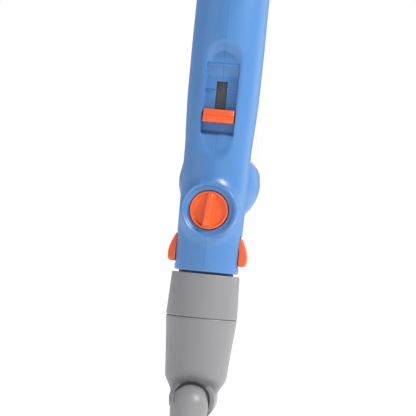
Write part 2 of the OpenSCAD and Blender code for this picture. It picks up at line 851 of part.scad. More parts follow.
module grip_shell_left() color(blue)
    intersection() {
        grip_case();
        box(-far, 0, -far, far, grip_z - far, total_h + far);
    }

module grip_shell_right() color(blue)
    intersection() {
        grip_case();
        box(0, far, -far, far, grip_z - far, total_h + far);
    }

module grip_pad() color(dark)
    intersection() {
        difference() {
            grip_form(-1.2);
            grip_form(0);
        }
        translate([0, grip_mid_y, grip_mid_z])
            rotate([atan2(grip_mid_y - grip_tip_y, grip_tip_z - grip_mid_z), 0, 0])
            box(-far, far, -far, -5, 6, grip_tip_z - grip_mid_z);
    }

module indicator_lens() color("red")
    translate([0, 0, grip_z + 22]) rod_y(3.5, -grip_r - 3.6, -grip_r + 1);

module trigger_lever() color(orange)
    translate([0, trigger_pin_y, trigger_pin_z]) {
        rotate([90, 0, 90]) linear_extrude(trigger_w, center = true) polygon([
            [-4, 4], [6, 5], [14, -4], [26, -20], [29, -34], [26, -42], [20, -44],
            [16, -32], [8, -14], [0, -6], [-4, -4]]);
        rod_x(trigger_pin_r, -trigger_w / 2 - 3.5, trigger_w / 2 + 3.5);
    }

module trigger_spring() color("silver")
    translate([0, grip_mid_y - 16, trigger_pin_z - 16]) rotate([-90, 0, 0]) coil(3, 0.4, 25, 6);

module micro_switch() color("black")
    box(-3.2, 3.2, -8, 3, trigger_pin_z - 42, trigger_pin_z - 22);

// ---- what is drawn ----

microfiber_pad();
hook_strips();
head_base_plate();
head_bumper();
steam_distributor();
head_top_cover();
head_screws();
head_hinge_pin();
swivel_arm();
swivel_o_ring();
swivel_washer();
swivel_screw();
neck_barrel();
neck_collar();
neck_steam_tube();
body_spigot();
steam_nozzle();
body_shell_left();
body_shell_right();
body_screws();
release_button_left();
release_button_right();
release_spring_left();
release_spring_right();
release_pins();
knob_bezel();
steam_knob();
valve_stem();
valve_body();
steam_hose();
boiler_hose();
steam_slider();
slider_carrier();
slider_rod();
pump();
suction_hose();
boiler_cowl();
boiler();
thermostat();
tank_gasket();
water_tank();
tank_valve();
tank_cap();
pole_lower();
pole_upper();
pole_collar();
pole_button();
pole_button_spring();
cord_hook_lower();
hook_clamp();
cord_hook_upper();
cord_inlet();
grip_shell_left();
grip_shell_right();
grip_pad();
indicator_lens();
trigger_lever();
trigger_spring();
micro_switch();
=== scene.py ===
import math

import bmesh
import bpy
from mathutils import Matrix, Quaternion, Vector


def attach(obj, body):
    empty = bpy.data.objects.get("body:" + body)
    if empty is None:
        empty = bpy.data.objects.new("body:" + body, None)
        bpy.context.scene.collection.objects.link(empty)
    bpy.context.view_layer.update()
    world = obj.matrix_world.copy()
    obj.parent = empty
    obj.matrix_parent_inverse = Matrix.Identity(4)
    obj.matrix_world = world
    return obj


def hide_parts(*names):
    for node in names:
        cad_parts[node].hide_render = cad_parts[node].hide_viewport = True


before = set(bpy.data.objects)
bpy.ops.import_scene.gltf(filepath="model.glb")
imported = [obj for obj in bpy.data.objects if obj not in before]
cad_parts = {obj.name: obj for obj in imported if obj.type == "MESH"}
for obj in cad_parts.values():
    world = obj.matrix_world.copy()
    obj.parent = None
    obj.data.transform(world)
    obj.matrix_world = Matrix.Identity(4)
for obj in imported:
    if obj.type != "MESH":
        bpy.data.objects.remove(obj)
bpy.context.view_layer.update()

mm = 0.001

# camera, light and floor, in metres

viewPlan = dict(azimuth=5.7, distance=1.1, height=0.226, aim=(-0.0039, 0.0, 0.282), roll=5.7,
                lens=108.2, near=0.05)
lightPlan = dict(
    key=dict(place=(1.5, -0.75, 1.9), size=0.6, power=62, colour="#fffaf4"),
    fill=dict(place=(-1.9, -1.2, 0.9), size=1.6, power=7, colour="#eef3ff"),
    rim=dict(place=(1.6, 1.2, 0.9), size=1.2, power=6, colour="#ffffff"))
studio = dict(lightAim=(0, 0, 0.35), sky=0.44, backdrop=1.0, floorGlow=0.62, floorReach=30)


def hexColour(code):
    def linear(part):
        value = int(part, 16) / 255
        return value / 12.92 if value <= 0.04045 else ((value + 0.055) / 1.055) ** 2.4
    return (linear(code[1:3]), linear(code[3:5]), linear(code[5:7]), 1.0)


def link(thing):
    bpy.context.scene.collection.objects.link(thing)
    return thing


def makeCamera(plan):
    data = bpy.data.cameras.new("studioCamera")
    data.lens = plan["lens"]
    data.clip_start = plan["near"]
    camera = link(bpy.data.objects.new("studioCamera", data))
    turn = math.radians(plan["azimuth"])
    place = Vector((plan["distance"] * math.sin(turn), -plan["distance"] * math.cos(turn), plan["height"]))
    look = (Vector(plan["aim"]) - place).to_track_quat("-Z", "Y")
    camera.rotation_mode = "QUATERNION"
    camera.location = place
    camera.rotation_quaternion = look @ Quaternion((0, 0, 1), math.radians(plan["roll"]))
    bpy.context.scene.camera = camera


def makeLights(plan):
    for name, lamp in plan.items():
        data = bpy.data.lights.new(name + "Light", "AREA")
        data.size = lamp["size"]
        data.energy = lamp["power"]
        data.color = hexColour(lamp["colour"])[:3]
        light = link(bpy.data.objects.new(name + "Light", data))
        light.location = lamp["place"]
        aim = Vector(studio["lightAim"]) - Vector(lamp["place"])
        light.rotation_euler = aim.to_track_quat("-Z", "Y").to_euler()


def addNode(tree, kind, feeds=None, **settings):
    made = tree.nodes.new(kind)
    for key, value in settings.items():
        setattr(made, key, value)
    for key, value in (feeds or {}).items():
        if isinstance(value, bpy.types.NodeSocket):
            tree.links.new(value, made.inputs[key])
        else:
            made.inputs[key].default_value = value
    return made


def newMaterial(name):
    finish = bpy.data.materials.new(name)
    finish.use_nodes = True
    finish.node_tree.nodes.clear()
    return finish, finish.node_tree


def makeStudio():
    world = bpy.data.worlds.new("paleStudio")
    world.use_nodes = True
    sky = world.node_tree
    sky.nodes.clear()
    # the backdrop reads white, and the light that reaches the part from it is softer
    seen = addNode(sky, "ShaderNodeLightPath").outputs["Is Camera Ray"]
    level = addNode(sky, "ShaderNodeMapRange", {
        "Value": seen, "To Min": studio["sky"], "To Max": studio["backdrop"]})
    paper = addNode(sky, "ShaderNodeBackground", {
        "Color": hexColour("#ffffff"), "Strength": level.outputs[0]})
    addNode(sky, "ShaderNodeOutputWorld", {"Surface": paper.outputs[0]})
    bpy.context.scene.world = world
    bpy.context.scene.view_settings.view_transform = "Standard"
    finish, tree = newMaterial("matteSweepPaper")  # an even pale floor that keeps a soft shadow
    shader = addNode(tree, "ShaderNodeBsdfPrincipled", {
        "Base Color": hexColour("#fbfbfb"), "Roughness": 0.9, "Emission Color": hexColour("#ffffff"),
        "Emission Strength": studio["floorGlow"]})
    addNode(tree, "ShaderNodeOutputMaterial", {"Surface": shader.outputs[0]})
    mesh = bpy.data.meshes.new("studioFloor")
    reach = studio["floorReach"]
    mesh.from_pydata([(-reach, -reach, 0), (reach, -reach, 0), (reach, reach, 0), (-reach, reach, 0)],
                     [], [(0, 1, 2, 3)])
    mesh.materials.append(finish)
    link(bpy.data.objects.new("studioFloor", mesh))


makeCamera(viewPlan)
makeLights(lightPlan)
makeStudio()
print("camera, lights and floor made")

# finishes

pattern = dict(drift=45, rub=6, scuff=14, tarnish=22, flow=18, wander=9, fluff=0.5)  # sizes in mm


def mouldedPlastic(name, low, high, rough, grain, grainDepth, edge, edgeShare=0.25, coat=0.0, sheen=0.0):
    # low and high are the two tones the resin drifts between, grain is the tool's texture in mm
    finish, tree = newMaterial(name)
    place = addNode(tree, "ShaderNodeTexCoord").outputs["Object"]
    drawn = addNode(tree, "ShaderNodeMapping", {"Vector": place, "Scale": (1, 1, 0.35)})
    drift = addNode(tree, "ShaderNodeTexNoise", {
        "Vector": drawn.outputs[0], "Scale": 1 / (pattern["drift"] * mm), "Detail": 3.0, "Roughness": 0.55})
    tone = addNode(tree, "ShaderNodeValToRGB", {"Fac": drift.outputs["Fac"]})
    for stop, at, code in zip(tone.color_ramp.elements, (0.3, 0.7), (low, high)):
        stop.position, stop.color = at, hexColour(code)
    sharp = addNode(tree, "ShaderNodeNewGeometry").outputs["Pointiness"]
    rub = addNode(tree, "ShaderNodeTexNoise", {
        "Vector": place, "Scale": 1 / (pattern["rub"] * mm), "Detail": 4.0})
    worn = addNode(tree, "ShaderNodeMapRange", {
        "Value": sharp, "From Min": 0.53, "From Max": 0.62, "To Max": edgeShare})
    rubbed = addNode(tree, "ShaderNodeMath", {
        0: worn.outputs[0], 1: rub.outputs["Fac"]}, operation="MULTIPLY")
    colour = addNode(tree, "ShaderNodeMix", {
        "Factor": rubbed.outputs[0], 6: tone.outputs["Color"], 7: hexColour(edge)}, data_type="RGBA")
    scuff = addNode(tree, "ShaderNodeTexNoise", {
        "Vector": place, "Scale": 1 / (pattern["scuff"] * mm), "Detail": 3.0, "Distortion": 0.4})
    dull = addNode(tree, "ShaderNodeMapRange", {
        "Value": scuff.outputs["Fac"], "From Min": 0.2, "From Max": 0.8,
        "To Min": rough, "To Max": rough + 0.1})
    pebble = addNode(tree, "ShaderNodeTexNoise", {
        "Vector": place, "Scale": 1 / (grain * mm), "Detail": 2.0, "Roughness": 0.6})
    bump = addNode(tree, "ShaderNodeBump", {
        "Height": pebble.outputs["Fac"], "Distance": grainDepth * mm, "Strength": 0.6})
    shader = addNode(tree, "ShaderNodeBsdfPrincipled", {
        "Base Color": colour.outputs[2], "Roughness": dull.outputs[0], "Normal": bump.outputs[0],
        "IOR": 1.53, "Coat Weight": coat, "Coat Roughness": 0.18, "Sheen Weight": sheen})
    addNode(tree, "ShaderNodeOutputMaterial", {"Surface": shader.outputs[0]})
    return finish


def workedMetal(name, low, high, rough, streak, streakDepth, turned=False):
    # streak is the pitch of the tool marks in mm: along Z when drawn, round the part when turned
    finish, tree = newMaterial(name)
    place = addNode(tree, "ShaderNodeTexCoord").outputs["Object"]
    stretch = (1, 1, 25) if turned else (1, 1, 0.03)
    marks = addNode(tree, "ShaderNodeMapping", {"Vector": place, "Scale": stretch})
    lines = addNode(tree, "ShaderNodeTexNoise", {
        "Vector": marks.outputs[0], "Scale": 1 / (streak * mm), "Detail": 4.0, "Roughness": 0.65})
    tarnish = addNode(tree, "ShaderNodeTexNoise", {
        "Vector": place, "Scale": 1 / (pattern["tarnish"] * mm), "Detail": 3.0})
    tone = addNode(tree, "ShaderNodeValToRGB", {"Fac": tarnish.outputs["Fac"]})
    for stop, at, code in zip(tone.color_ramp.elements, (0.25, 0.75), (low, high)):
        stop.position, stop.color = at, hexColour(code)
    dull = addNode(tree, "ShaderNodeMapRange", {
        "Value": lines.outputs["Fac"], "From Min": 0.3, "From Max": 0.7,
        "To Min": rough, "To Max": rough + 0.14})
    bump = addNode(tree, "ShaderNodeBump", {
        "Height": lines.outputs["Fac"], "Distance": streakDepth * mm, "Strength": 0.5})
    shader = addNode(tree, "ShaderNodeBsdfPrincipled", {
        "Base Color": tone.outputs["Color"], "Metallic": 1.0, "Roughness": dull.outputs[0],
        "Normal": bump.outputs[0]})
    addNode(tree, "ShaderNodeOutputMaterial", {"Surface": shader.outputs[0]})
    return finish


def clearResin(name, tint, rough, ior, clear, ripple):
    # a see-through wall: slight haze, and flow marks from the tool that bend what lies behind
    finish, tree = newMaterial(name)
    place = addNode(tree, "ShaderNodeTexCoord").outputs["Object"]
    flow = addNode(tree, "ShaderNodeTexNoise", {
        "Vector": place, "Scale": 1 / (pattern["flow"] * mm), "Detail": 2.0})
    haze = addNode(tree, "ShaderNodeMapRange", {
        "Value": flow.outputs["Fac"], "From Min": 0.3, "From Max": 0.7,
        "To Min": rough, "To Max": rough + 0.08})
    tone = addNode(tree, "ShaderNodeMix", {
        "Factor": flow.outputs["Fac"], 6: hexColour(tint), 7: hexColour("#ffffff")}, data_type="RGBA")
    bump = addNode(tree, "ShaderNodeBump", {
        "Height": flow.outputs["Fac"], "Distance": ripple * mm, "Strength": 0.4})
    shader = addNode(tree, "ShaderNodeBsdfPrincipled", {
        "Base Color": tone.outputs[2], "Roughness": haze.outputs[0], "Normal": bump.outputs[0],
        "IOR": ior, "Transmission Weight": clear})
    addNode(tree, "ShaderNodeOutputMaterial", {"Surface": shader.outputs[0]})
    return finish


def loopedMicrofibre(name, low, high, loop):
    # looped pile: loops a few millimetres across, drawn coarser than a thread so that they show
    finish, tree = newMaterial(name)
    place = addNode(tree, "ShaderNodeTexCoord").outputs["Object"]
    wander = addNode(tree, "ShaderNodeTexNoise", {
        "Vector": place, "Scale": 1 / (pattern["wander"] * mm), "Detail": 3.0})
    loops = addNode(tree, "ShaderNodeTexVoronoi", {
        "Vector": place, "Scale": 1 / (loop * mm), "Randomness": 0.9}, feature="SMOOTH_F1")
    fluff = addNode(tree, "ShaderNodeTexNoise", {
        "Vector": place, "Scale": 1 / (pattern["fluff"] * mm), "Detail": 4.0})
    height = addNode(tree, "ShaderNodeMath", {
        0: loops.outputs["Distance"], 1: fluff.outputs["Fac"]}, operation="SUBTRACT")
    # painted shade: the colour darkens from each loop's middle out to the gaps between the loops
    tone = addNode(tree, "ShaderNodeValToRGB", {"Fac": loops.outputs["Distance"]})
    for stop, at, code in zip(tone.color_ramp.elements, (0.0, 0.8), (high, low)):
        stop.position, stop.color = at, hexColour(code)
    # the painted loop shade, with the colour drifting at random towards the light tone
    loopShadeAndDrift = addNode(tree, "ShaderNodeMix", {
        "Factor": wander.outputs["Fac"], 6: tone.outputs["Color"], 7: hexColour(high)}, data_type="RGBA")
    bump = addNode(tree, "ShaderNodeBump", {
        "Height": height.outputs[0], "Distance": 0.9 * mm, "Strength": 0.8}, invert=True)
    shader = addNode(tree, "ShaderNodeBsdfPrincipled", {
        "Base Color": loopShadeAndDrift.outputs[2], "Roughness": 0.92, "Normal": bump.outputs[0],
        "Sheen Weight": 0.5, "Sheen Roughness": 0.5})
    addNode(tree, "ShaderNodeOutputMaterial", {"Surface": shader.outputs[0]})
    return finish


# Each finish: its material and the record's slot that it belongs to
finishes = dict(
    # injection-moulded ABS, semi-gloss: broad soft highlights over an even cornflower blue
    blue=(mouldedPlastic("semiGlossBlueAbs", "#3e71a9", "#4377b2", 0.33, 0.5, 0.02, "#8fb8e8",
                         coat=0.06), "blue_plastic"),
    # ABS, the same tool finish: a warm signal orange that catches a lighter line on its edges
    orange=(mouldedPlastic("semiGlossOrangeAbs", "#d5511f", "#e05a28", 0.3, 0.5, 0.02, "#ff9a70"),
            "orange_plastic"),
    # glass-filled nylon, spark-eroded: a slightly cloudy mid grey
    grey=(mouldedPlastic("satinGreyNylon", "#77777b", "#7f8083", 0.38, 0.7, 0.03, "#c4c5c9"),
          "grey_plastic"),
    # ABS with a coarser spark grain: dark and dry-looking
    dark=(mouldedPlastic("grainedCharcoalAbs", "#3c4046", "#464a51", 0.42, 0.8, 0.05, "#6a6e75"),
          "dark_plastic"),
    # nylon inner part: its own blue, darkened to a deep navy as painted shade for the gap it is seen through
    navy=(mouldedPlastic("shadeDarkenedNavyNylon", "#1d3c78", "#244684", 0.38, 0.6, 0.03, "#33456b"), "navy_plastic"),
    # unfilled acetal: milky and smooth
    white=(mouldedPlastic("milkWhiteAcetal", "#e4e5e4", "#eeefee", 0.33, 0.6, 0.02, "#ffffff"),
           "white_plastic"),
    # thermoplastic rubber, matt: a soft edge with hardly any highlight
    rubber=(mouldedPlastic("mattSlateRubber", "#4b5159", "#555b64", 0.66, 1.1, 0.09, "#72777f", 0.4,
                           sheen=0.15), "rubber_edge"),
    # nitrile rubber: black, with a faint dull edge
    seal=(mouldedPlastic("blackNitrile", "#17181a", "#202224", 0.55, 0.9, 0.05, "#3c3e41"), "seal_rubber"),
    # silicone hose: dusty dark grey with a slight bloom
    hose=(mouldedPlastic("dustySilicone", "#3a3c40", "#45474c", 0.6, 1.2, 0.06, "#5c5e63", sheen=0.2),
          "silicone_hose"),
    # moulded silicone gasket: a clean orange line, softer than the buttons
    orangeSeal=(mouldedPlastic("orangeSilicone", "#ec5a22", "#f46a30", 0.5, 0.9, 0.04, "#ff9c70",
                               sheen=0.1), "orange_seal"),
    # zinc-plated steel, turned: bright, with fine marks round it
    steel=(workedMetal("zincPlatedSteel", "#b9bdc2", "#d3d6da", 0.26, 1.2, 0.02, turned=True), "steel"),
    # drawn stainless tube: brushed along its length
    pole=(workedMetal("brushedStainlessTube", "#bcbfc3", "#d6d8db", 0.24, 0.6, 0.015), "pole_metal"),
    # die-cast aluminium, shot-blasted: an even dull grey
    cast=(workedMetal("blastedCastAluminium", "#9b9ea2", "#b6b9bc", 0.5, 1.4, 0.08, turned=True),
          "cast_metal"),
    # free-cutting brass, turned: warm yellow with fine marks round it
    brass=(workedMetal("turnedBrass", "#b08a45", "#cfa75a", 0.3, 0.9, 0.02, turned=True), "brass_fitting"),
    # frosted copolyester tank wall: milky, with the water line showing through
    tank=(clearResin("frostedClearCopolyester", "#e4e8ed", 0.3, 1.5, 0.5, 0.3), "clear_tank"),
    # still water: a clear body with a level top
    water=(clearResin("stillWater", "#d8ecf6", 0.02, 1.33, 1.0, 0.1), "clear_tank"),
    # tinted acrylic lens: a polished red that lets some light in
    lens=(clearResin("redAcrylicLens", "#c81418", 0.08, 1.49, 0.35, 0.1), "red_lens"),
    # microfibre chenille: off-white pile with soft shadows between its loops
    cloth=(loopedMicrofibre("offWhiteLoopedMicrofibre", "#9fa2a6", "#d6d6d1", 3.2), "pad_cloth"),
    # woven nylon tape with moulded hooks: dark and furry
    hookTape=(loopedMicrofibre("charcoalHookTape", "#26282b", "#3d4044", 1.6), "hook_tape"))
print(len(finishes), "finishes made")

# mesh helpers


def upright(x=0, y=0, z=0):
    return lambda a, b, h: Vector((x + a, y + b, z + h)) * mm


def alongY(x=0, z=0):
    return lambda a, b, h: Vector((x + a, h, z + b)) * mm


def alongX(y=0, z=0):
    return lambda a, b, h: Vector((h, y + a, z + b)) * mm


def rounded(points, steps=4, closed=True):
    # a third number on a point is the radius that softens it
    made = []
    count = len(points)
    for i, point in enumerate(points):
        if len(point) < 3 or not point[2] or (not closed and i in (0, count - 1)):
            made.append(tuple(point[:2]))
            continue
        here = Vector(point[:2])
        back = Vector(points[i - 1][:2]) - here
        ahead = Vector(points[(i + 1) % count][:2]) - here
        reach = min(point[2], back.length * 0.49, ahead.length * 0.49)
        first = here + back.normalized() * reach
        last = here + ahead.normalized() * reach
        for k in range(steps + 1):
            t = k / steps
            made.append(tuple(first * (1 - t) ** 2 + here * 2 * t * (1 - t) + last * t * t))
    return made


def bridge(bm, low, high):
    if len(low) == 1 and len(high) == 1:
        return
    count = max(len(low), len(high))
    for k in range(count):
        after = (k + 1) % count
        corners = [low[k % len(low)], low[after % len(low)], high[after % len(high)], high[k % len(high)]]
        corners = [v for i, v in enumerate(corners) if v not in corners[:i]]
        bm.faces.new(corners)


def loft(bm, rings, loop=False):
    # joins the rings one to the next; an open row of rings is capped, a loop closes on itself
    made = [[bm.verts.new(point) for point in ring] for ring in rings]
    for low, high in zip(made, made[1:] + (made[:1] if loop else [])):
        bridge(bm, low, high)
    for ring in () if loop else (made[0], made[-1]):
        if len(ring) > 2:
            bm.faces.new(ring)


def lathe(bm, profile, place, steps=64, loop=False):
    rings = []
    for radius, height in profile:
        if radius < 1e-6:
            rings.append([place(0, 0, height)])
            continue
        rings.append([place(radius * math.cos(math.tau * k / steps),
                            radius * math.sin(math.tau * k / steps), height) for k in range(steps)])
    loft(bm, rings, loop=loop)


def inset(outline, amount):
    count = len(outline)
    area = sum(outline[i - 1][0] * p[1] - p[0] * outline[i - 1][1] for i, p in enumerate(outline))
    side = 1 if area > 0 else -1
    made = []
    for i, point in enumerate(outline):
        here = Vector(point)
        first = (here - Vector(outline[i - 1])).normalized()
        last = (Vector(outline[(i + 1) % count]) - here).normalized()
        normals = [Vector((-d.y, d.x)) * side for d in (first, last)]
        made.append(tuple(here + (normals[0] + normals[1]) * (amount / (1 + normals[0].dot(normals[1])))))
    return made


def prism(bm, outline, low, high, place, edge=0.8, steps=3):
    # outline drawn along its axis, with rounded rims
    rings = []
    for end, way in ((low, 1), (high, -1)):
        level = []
        for k in range(steps + 1):
            a = math.radians(90 * k / steps)
            ring = inset(outline, edge * (1 - math.sin(a)))
            level.append([place(p[0], p[1], end + way * edge * (1 - math.cos(a))) for p in ring])
        rings += level if way > 0 else level[::-1]
    loft(bm, rings)


def tube(bm, path, radius, sides=12):
    points = [Vector(p) for p in path]
    side = Vector((1, 0, 0))
    rings = []
    for i, point in enumerate(points):
        ahead = (points[min(i + 1, len(points) - 1)] - points[max(i - 1, 0)]).normalized()
        side = (side - ahead * side.dot(ahead)).normalized()
        up = ahead.cross(side)
        size = radius(i / (len(points) - 1)) if callable(radius) else radius
        rings.append([(point + (side * math.cos(math.tau * k / sides)
                                + up * math.sin(math.tau * k / sides)) * size) * mm for k in range(sides)])
    loft(bm, rings)


def superellipse(centre, halfX, halfY, power, height, steps=64):
    ring = []
    for k in range(steps):
        a = math.tau * k / steps
        c, s = math.cos(a), math.sin(a)
        ring.append(Vector((
            centre[0] + halfX * math.copysign(abs(c) ** (2 / power), c),
            centre[1] + halfY * math.copysign(abs(s) ** (2 / power), s), height)) * mm)
    return ring


def smooth(t):
    t = min(max(t, 0.0), 1.0)
    return t * t * (3 - 2 * t)


def between(table, value):
    for low, high in zip(table, table[1:]):
        if value <= high[0]:
            t = max(0.0, (value - low[0]) / (high[0] - low[0]))
            return [a + (b - a) * t for a, b in zip(low[1:], high[1:])]
    return list(table[-1][1:])


def span(low, high, step):
    count = max(1, round((high - low) / step))
    return [low + (high - low) * k / count for k in range(count)]


def smoothPath(points, parts):
    # more levels between the given ones, on a smooth curve
    made = []
    for i in range(len(points) - 1):
        p = [Vector(points[min(max(i + d, 0), len(points) - 1)]) for d in (-1, 0, 1, 2)]
        for k in range(parts):
            t = k / parts
            bend = 2 * p[0] - 5 * p[1] + 4 * p[2] - p[3]
            made.append(tuple(0.5 * (2 * p[1] + (p[2] - p[0]) * t + bend * t * t
                                     + (3 * p[1] - 3 * p[2] + p[3] - p[0]) * t ** 3)))
    return made + [tuple(points[-1])]


def settle(piece):
    # bakes the piece's modifiers into its mesh
    shape = piece.evaluated_get(bpy.context.evaluated_depsgraph_get())
    mesh = bpy.data.meshes.new_from_object(shape)
    piece.modifiers.clear()
    piece.data = mesh
    return mesh


def shade(mesh, angle):
    for face in mesh.polygons:
        face.use_smooth = True
    mesh.set_sharp_from_angle(angle=math.radians(angle))


def newPiece(name, finish, *makers, facing=True):
    # each maker adds one closed shape to the piece
    bm = bmesh.new()
    for maker in makers:
        maker(bm)
    if facing:
        bmesh.ops.recalc_face_normals(bm, faces=bm.faces)
    mesh = bpy.data.meshes.new(name)
    bm.to_mesh(mesh)
    bm.free()
    if finish:
        mesh.materials.append(finishes[finish][0])
    return link(bpy.data.objects.new(name, mesh))


def fit(piece, body, stands=(), angle=32):
    shade(piece.data, angle)
    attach(piece, body)
    if stands:
        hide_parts(*stands)
    return piece


def build(name, finish, body, stands, *makers, angle=32):
    return fit(newPiece(name, finish, *makers), body, stands, angle)


def combine(piece, other, operation="DIFFERENCE"):
    # takes another solid out of the piece, or joins it on
    change = piece.modifiers.new("change", "BOOLEAN")
    change.operation = operation
    change.object = other
    change.solver = "EXACT"
    settle(piece)
    bpy.data.objects.remove(other)


def cutAway(piece, *makers):
    for maker in makers:
        combine(piece, newPiece("cutter", None, maker))


def carved(name, finish, solid, *cuts):
    piece = newPiece(name, finish, solid)
    cutAway(piece, *cuts)
    return piece


def spun(points, place, steps=64, soft=4, closed=True):
    # a closed profile makes a ring, and an open one starts and ends on the axis
    return lambda bm: lathe(bm, rounded(points, soft, closed), place, steps, loop=closed)


def rod(radius, low, high, place, steps=96):
    return lambda bm: lathe(bm, [(0, low), (radius, low), (radius, high), (0, high)], place, steps)


def roundedBox(half, low, high, radius, steps=4):
    corners = ((-half, low), (half, low), (half, high), (-half, high))
    return rounded([corner + (radius,) for corner in corners], steps)


def closedPath(points, z):
    return [(x, y, z) for x, y in points + points[:1]]


# body shells: two halves milled from one rule for the skin

shell = dict(
    outline=[(226, 28), (281, 29), (337, 29.6), (351, 30.5), (379, 31.8), (420, 32.2), (544, 32.2),
             (553, 30.4), (560, 27.2), (567, 22.6), (571, 19.2), (574.4, 16.7), (576, 15)],
    low=226, high=576, fullR=28, bore=12.66, gap=0.08, wall=1.6, milledTo=-8,
    ridge=dict(rise=1.6, top=430, fade=60), fan=dict(start=43, stop=72.6),
    endRound=dict(depth=0.5, height=1.2), seamRound=dict(depth=0.1, width=0.5),
    boss=dict(z=278.7, radius=25, hole=22.5, reach=7, rise=2.6),
    recess=dict(low=321.2, high=426.9, half=19, floor=-26.4, rim=9.5),
    pocket=dict(low=342.4, high=407.3, half=14.15, floor=-20.5, rim=0.9, topRim=1.2, topRamp=17,
                bottomRamp=6),
    ledge=dict(z=383.6, rise=1.5, width=1.1),
    slot=dict(half=4.8, low=354.6, high=391.5),
    window=dict(low=231.5, high=259.5, half=8.4, inner=20),
    port=dict(low=288, high=316, half=17, front=8))
sides = ((-1, "Left"), (1, "Right"))


def skinRadius(z):
    low, high = shell["low"], shell["high"]
    around = [between(shell["outline"], min(max(z + d, low), high))[0] for d in (-3, -1.5, 0, 1.5, 3)]
    edge = smooth((high - z) / 3)
    return edge * sum(around) / 5 + (1 - edge) * around[2]


def ridgeAt(z):
    ridge = shell["ridge"]
    return ridge["rise"] * (1 - smooth((z - ridge["top"]) / ridge["fade"]))


def milled(x, y, z):
    # where the rear skin lies once the knob's boss, the recess and the slider's pocket are in it
    boss, recess, pocket, ledge = (shell[key] for key in ("boss", "recess", "pocket", "ledge"))
    near = (math.hypot(x, z - boss["z"]) - boss["radius"]) / boss["reach"]
    if near < 1:
        y -= boss["rise"] * (1 - max(near, 0)) ** 2
    middle = min(max(z, recess["low"] + recess["half"]), recess["high"] - recess["half"])
    inside = recess["half"] - math.hypot(x, z - middle)
    y += (max(y, recess["floor"]) - y) * smooth(inside / recess["rim"])
    across = smooth((pocket["half"] - abs(x)) / pocket["rim"] + 0.5)
    top = min(max((pocket["high"] - z) / pocket["topRamp"], 0), 1)
    bottom = smooth((z - pocket["low"]) / pocket["bottomRamp"])
    if across > 0 and top > 0 and bottom > 0:
        floor = pocket["floor"] - ledge["rise"] * smooth((z - ledge["z"]) / ledge["width"])
        y += ((max(y, floor) - y) * across * min(1.0, 0.5 + 0.75 * top)
              * smooth((pocket["high"] - z) / pocket["topRim"]) * bottom)
    return y


def skinRow(z, lines, angles):
    # one level of the skin from the seam round to the front: straight lines first, then a fan
    radius, ridge, fan = skinRadius(z), ridgeAt(z), shell["fan"]
    end, seam = shell["endRound"], shell["seamRound"]
    edge = end["depth"] * (1 - min((z - shell["low"]) / end["height"], 1)) ** 2
    squeeze = min(1.0, radius / shell["fullR"])
    row = []
    for x in (line * squeeze for line in lines):
        turn = math.asin(min(x / (radius + ridge * 0.6), 1))
        reach = radius + ridge * (1 - math.sin(turn)) - edge
        y = milled(x, -math.sqrt(max(reach * reach - x * x, 0)), z)
        y += seam["depth"] * (1 - min((x - shell["gap"]) / seam["width"], 1)) ** 2
        row.append((x, y))
    first = math.degrees(math.atan2(row[-1][0], -row[-1][1]))
    for angle in angles:
        if angle < fan["stop"]:
            angle = first + (angle - fan["start"]) * (fan["stop"] - first) / (fan["stop"] - fan["start"])
        turn = math.radians(angle)
        reach = radius + ridge * (1 - math.sin(turn)) * (angle < 90) - edge
        x, y = reach * math.sin(turn), -reach * math.cos(turn)
        row.append((x, milled(x, y, z) if y < shell["milledTo"] else y))
    return row


def isOpen(x, y, z):
    # where the skin is left out: slot, button window, knob hole and the port behind the cowl
    slot, window, boss, port = (shell[key] for key in ("slot", "window", "boss", "port"))
    return (y < 0 and x < slot["half"] and slot["low"] < z < slot["high"]
            or x > window["inner"] and abs(y) < window["half"] and window["low"] < z < window["high"]
            or y < 0 and math.hypot(x, z - boss["z"]) < boss["hole"]
            or y > port["front"] and x < port["half"] and port["low"] < z < port["high"])


def bodyHalf(bm, side):
    slot, window, pocket, high = shell["slot"], shell["window"], shell["pocket"], shell["high"]
    # a height and the step of the rows above it, closer where the face is milled
    stops = [(shell["low"], 0.5), (227.5, 2), (window["low"], 2), (window["high"], 1.8), (318, 1.3),
             (pocket["low"], 0.7), (slot["low"], 0.7), (slot["high"], 0.9), (pocket["high"], 1.3),
             (430, 4), (544, 2), (574.4, 1)]
    rows = [z for low, over in zip(stops, stops[1:]) for z in span(low[0], over[0], low[1])]
    lines = [shell["gap"], 0.55, 1.1, 2.4, 3.6, slot["half"], 6, 7.4, 8.8, 10.2, 11.6, 12.6, 13.2, 13.6,
             13.9, 14.15, 14.4, 14.7, 15.1, 15.9, 16.9, 17.9, 18.9, 19.9]
    angles = [47, 51, 55, 59, 63, 67, 70, 72.6, 78, 84, 90, 96, 102, 107.4, 112, 118, 125, 132, 140, 148,
              156, 164, 172, 178, 179.55]
    grid = [[bm.verts.new(Vector((side * x, y, z)) * mm) for x, y in skinRow(z, lines, angles)]
            for z in rows + [stops[-1][0], 575.3, high]]
    grid.append([bm.verts.new(Vector((v.co.x, v.co.y, 0)).normalized() * shell["bore"] * mm
                              + Vector((0, 0, high * mm))) for v in grid[-1]])
    for low, over in zip(grid, grid[1:]):
        for c in range(len(low) - 1):
            corners = [low[c], low[c + 1], over[c + 1], over[c]]
            middle = sum((v.co for v in corners), Vector()) / 4 / mm
            if not isOpen(abs(middle.x), middle.y, middle.z):
                bm.faces.new(corners if side < 0 else corners[::-1])
    bmesh.ops.delete(bm, geom=[v for v in bm.verts if not v.link_faces], context="VERTS")


def makeBody():
    for side, word in sides:
        piece = newPiece("bodyShell" + word, "blue", lambda bm: bodyHalf(bm, side), facing=False)
        piece.data.update()
        outward = sum(f.normal.dot(Vector((f.center.x, f.center.y, 0))) for f in piece.data.polygons)
        if outward < 0:
            piece.data.flip_normals()
        wall = piece.modifiers.new("wall", "SOLIDIFY")
        wall.thickness = shell["wall"] * mm
        wall.offset = -1
        settle(piece)
        fit(piece, "handle", ["body_shell_" + word.lower()], 40)


makeBody()
print("body shells made")

# knob and the ring round it

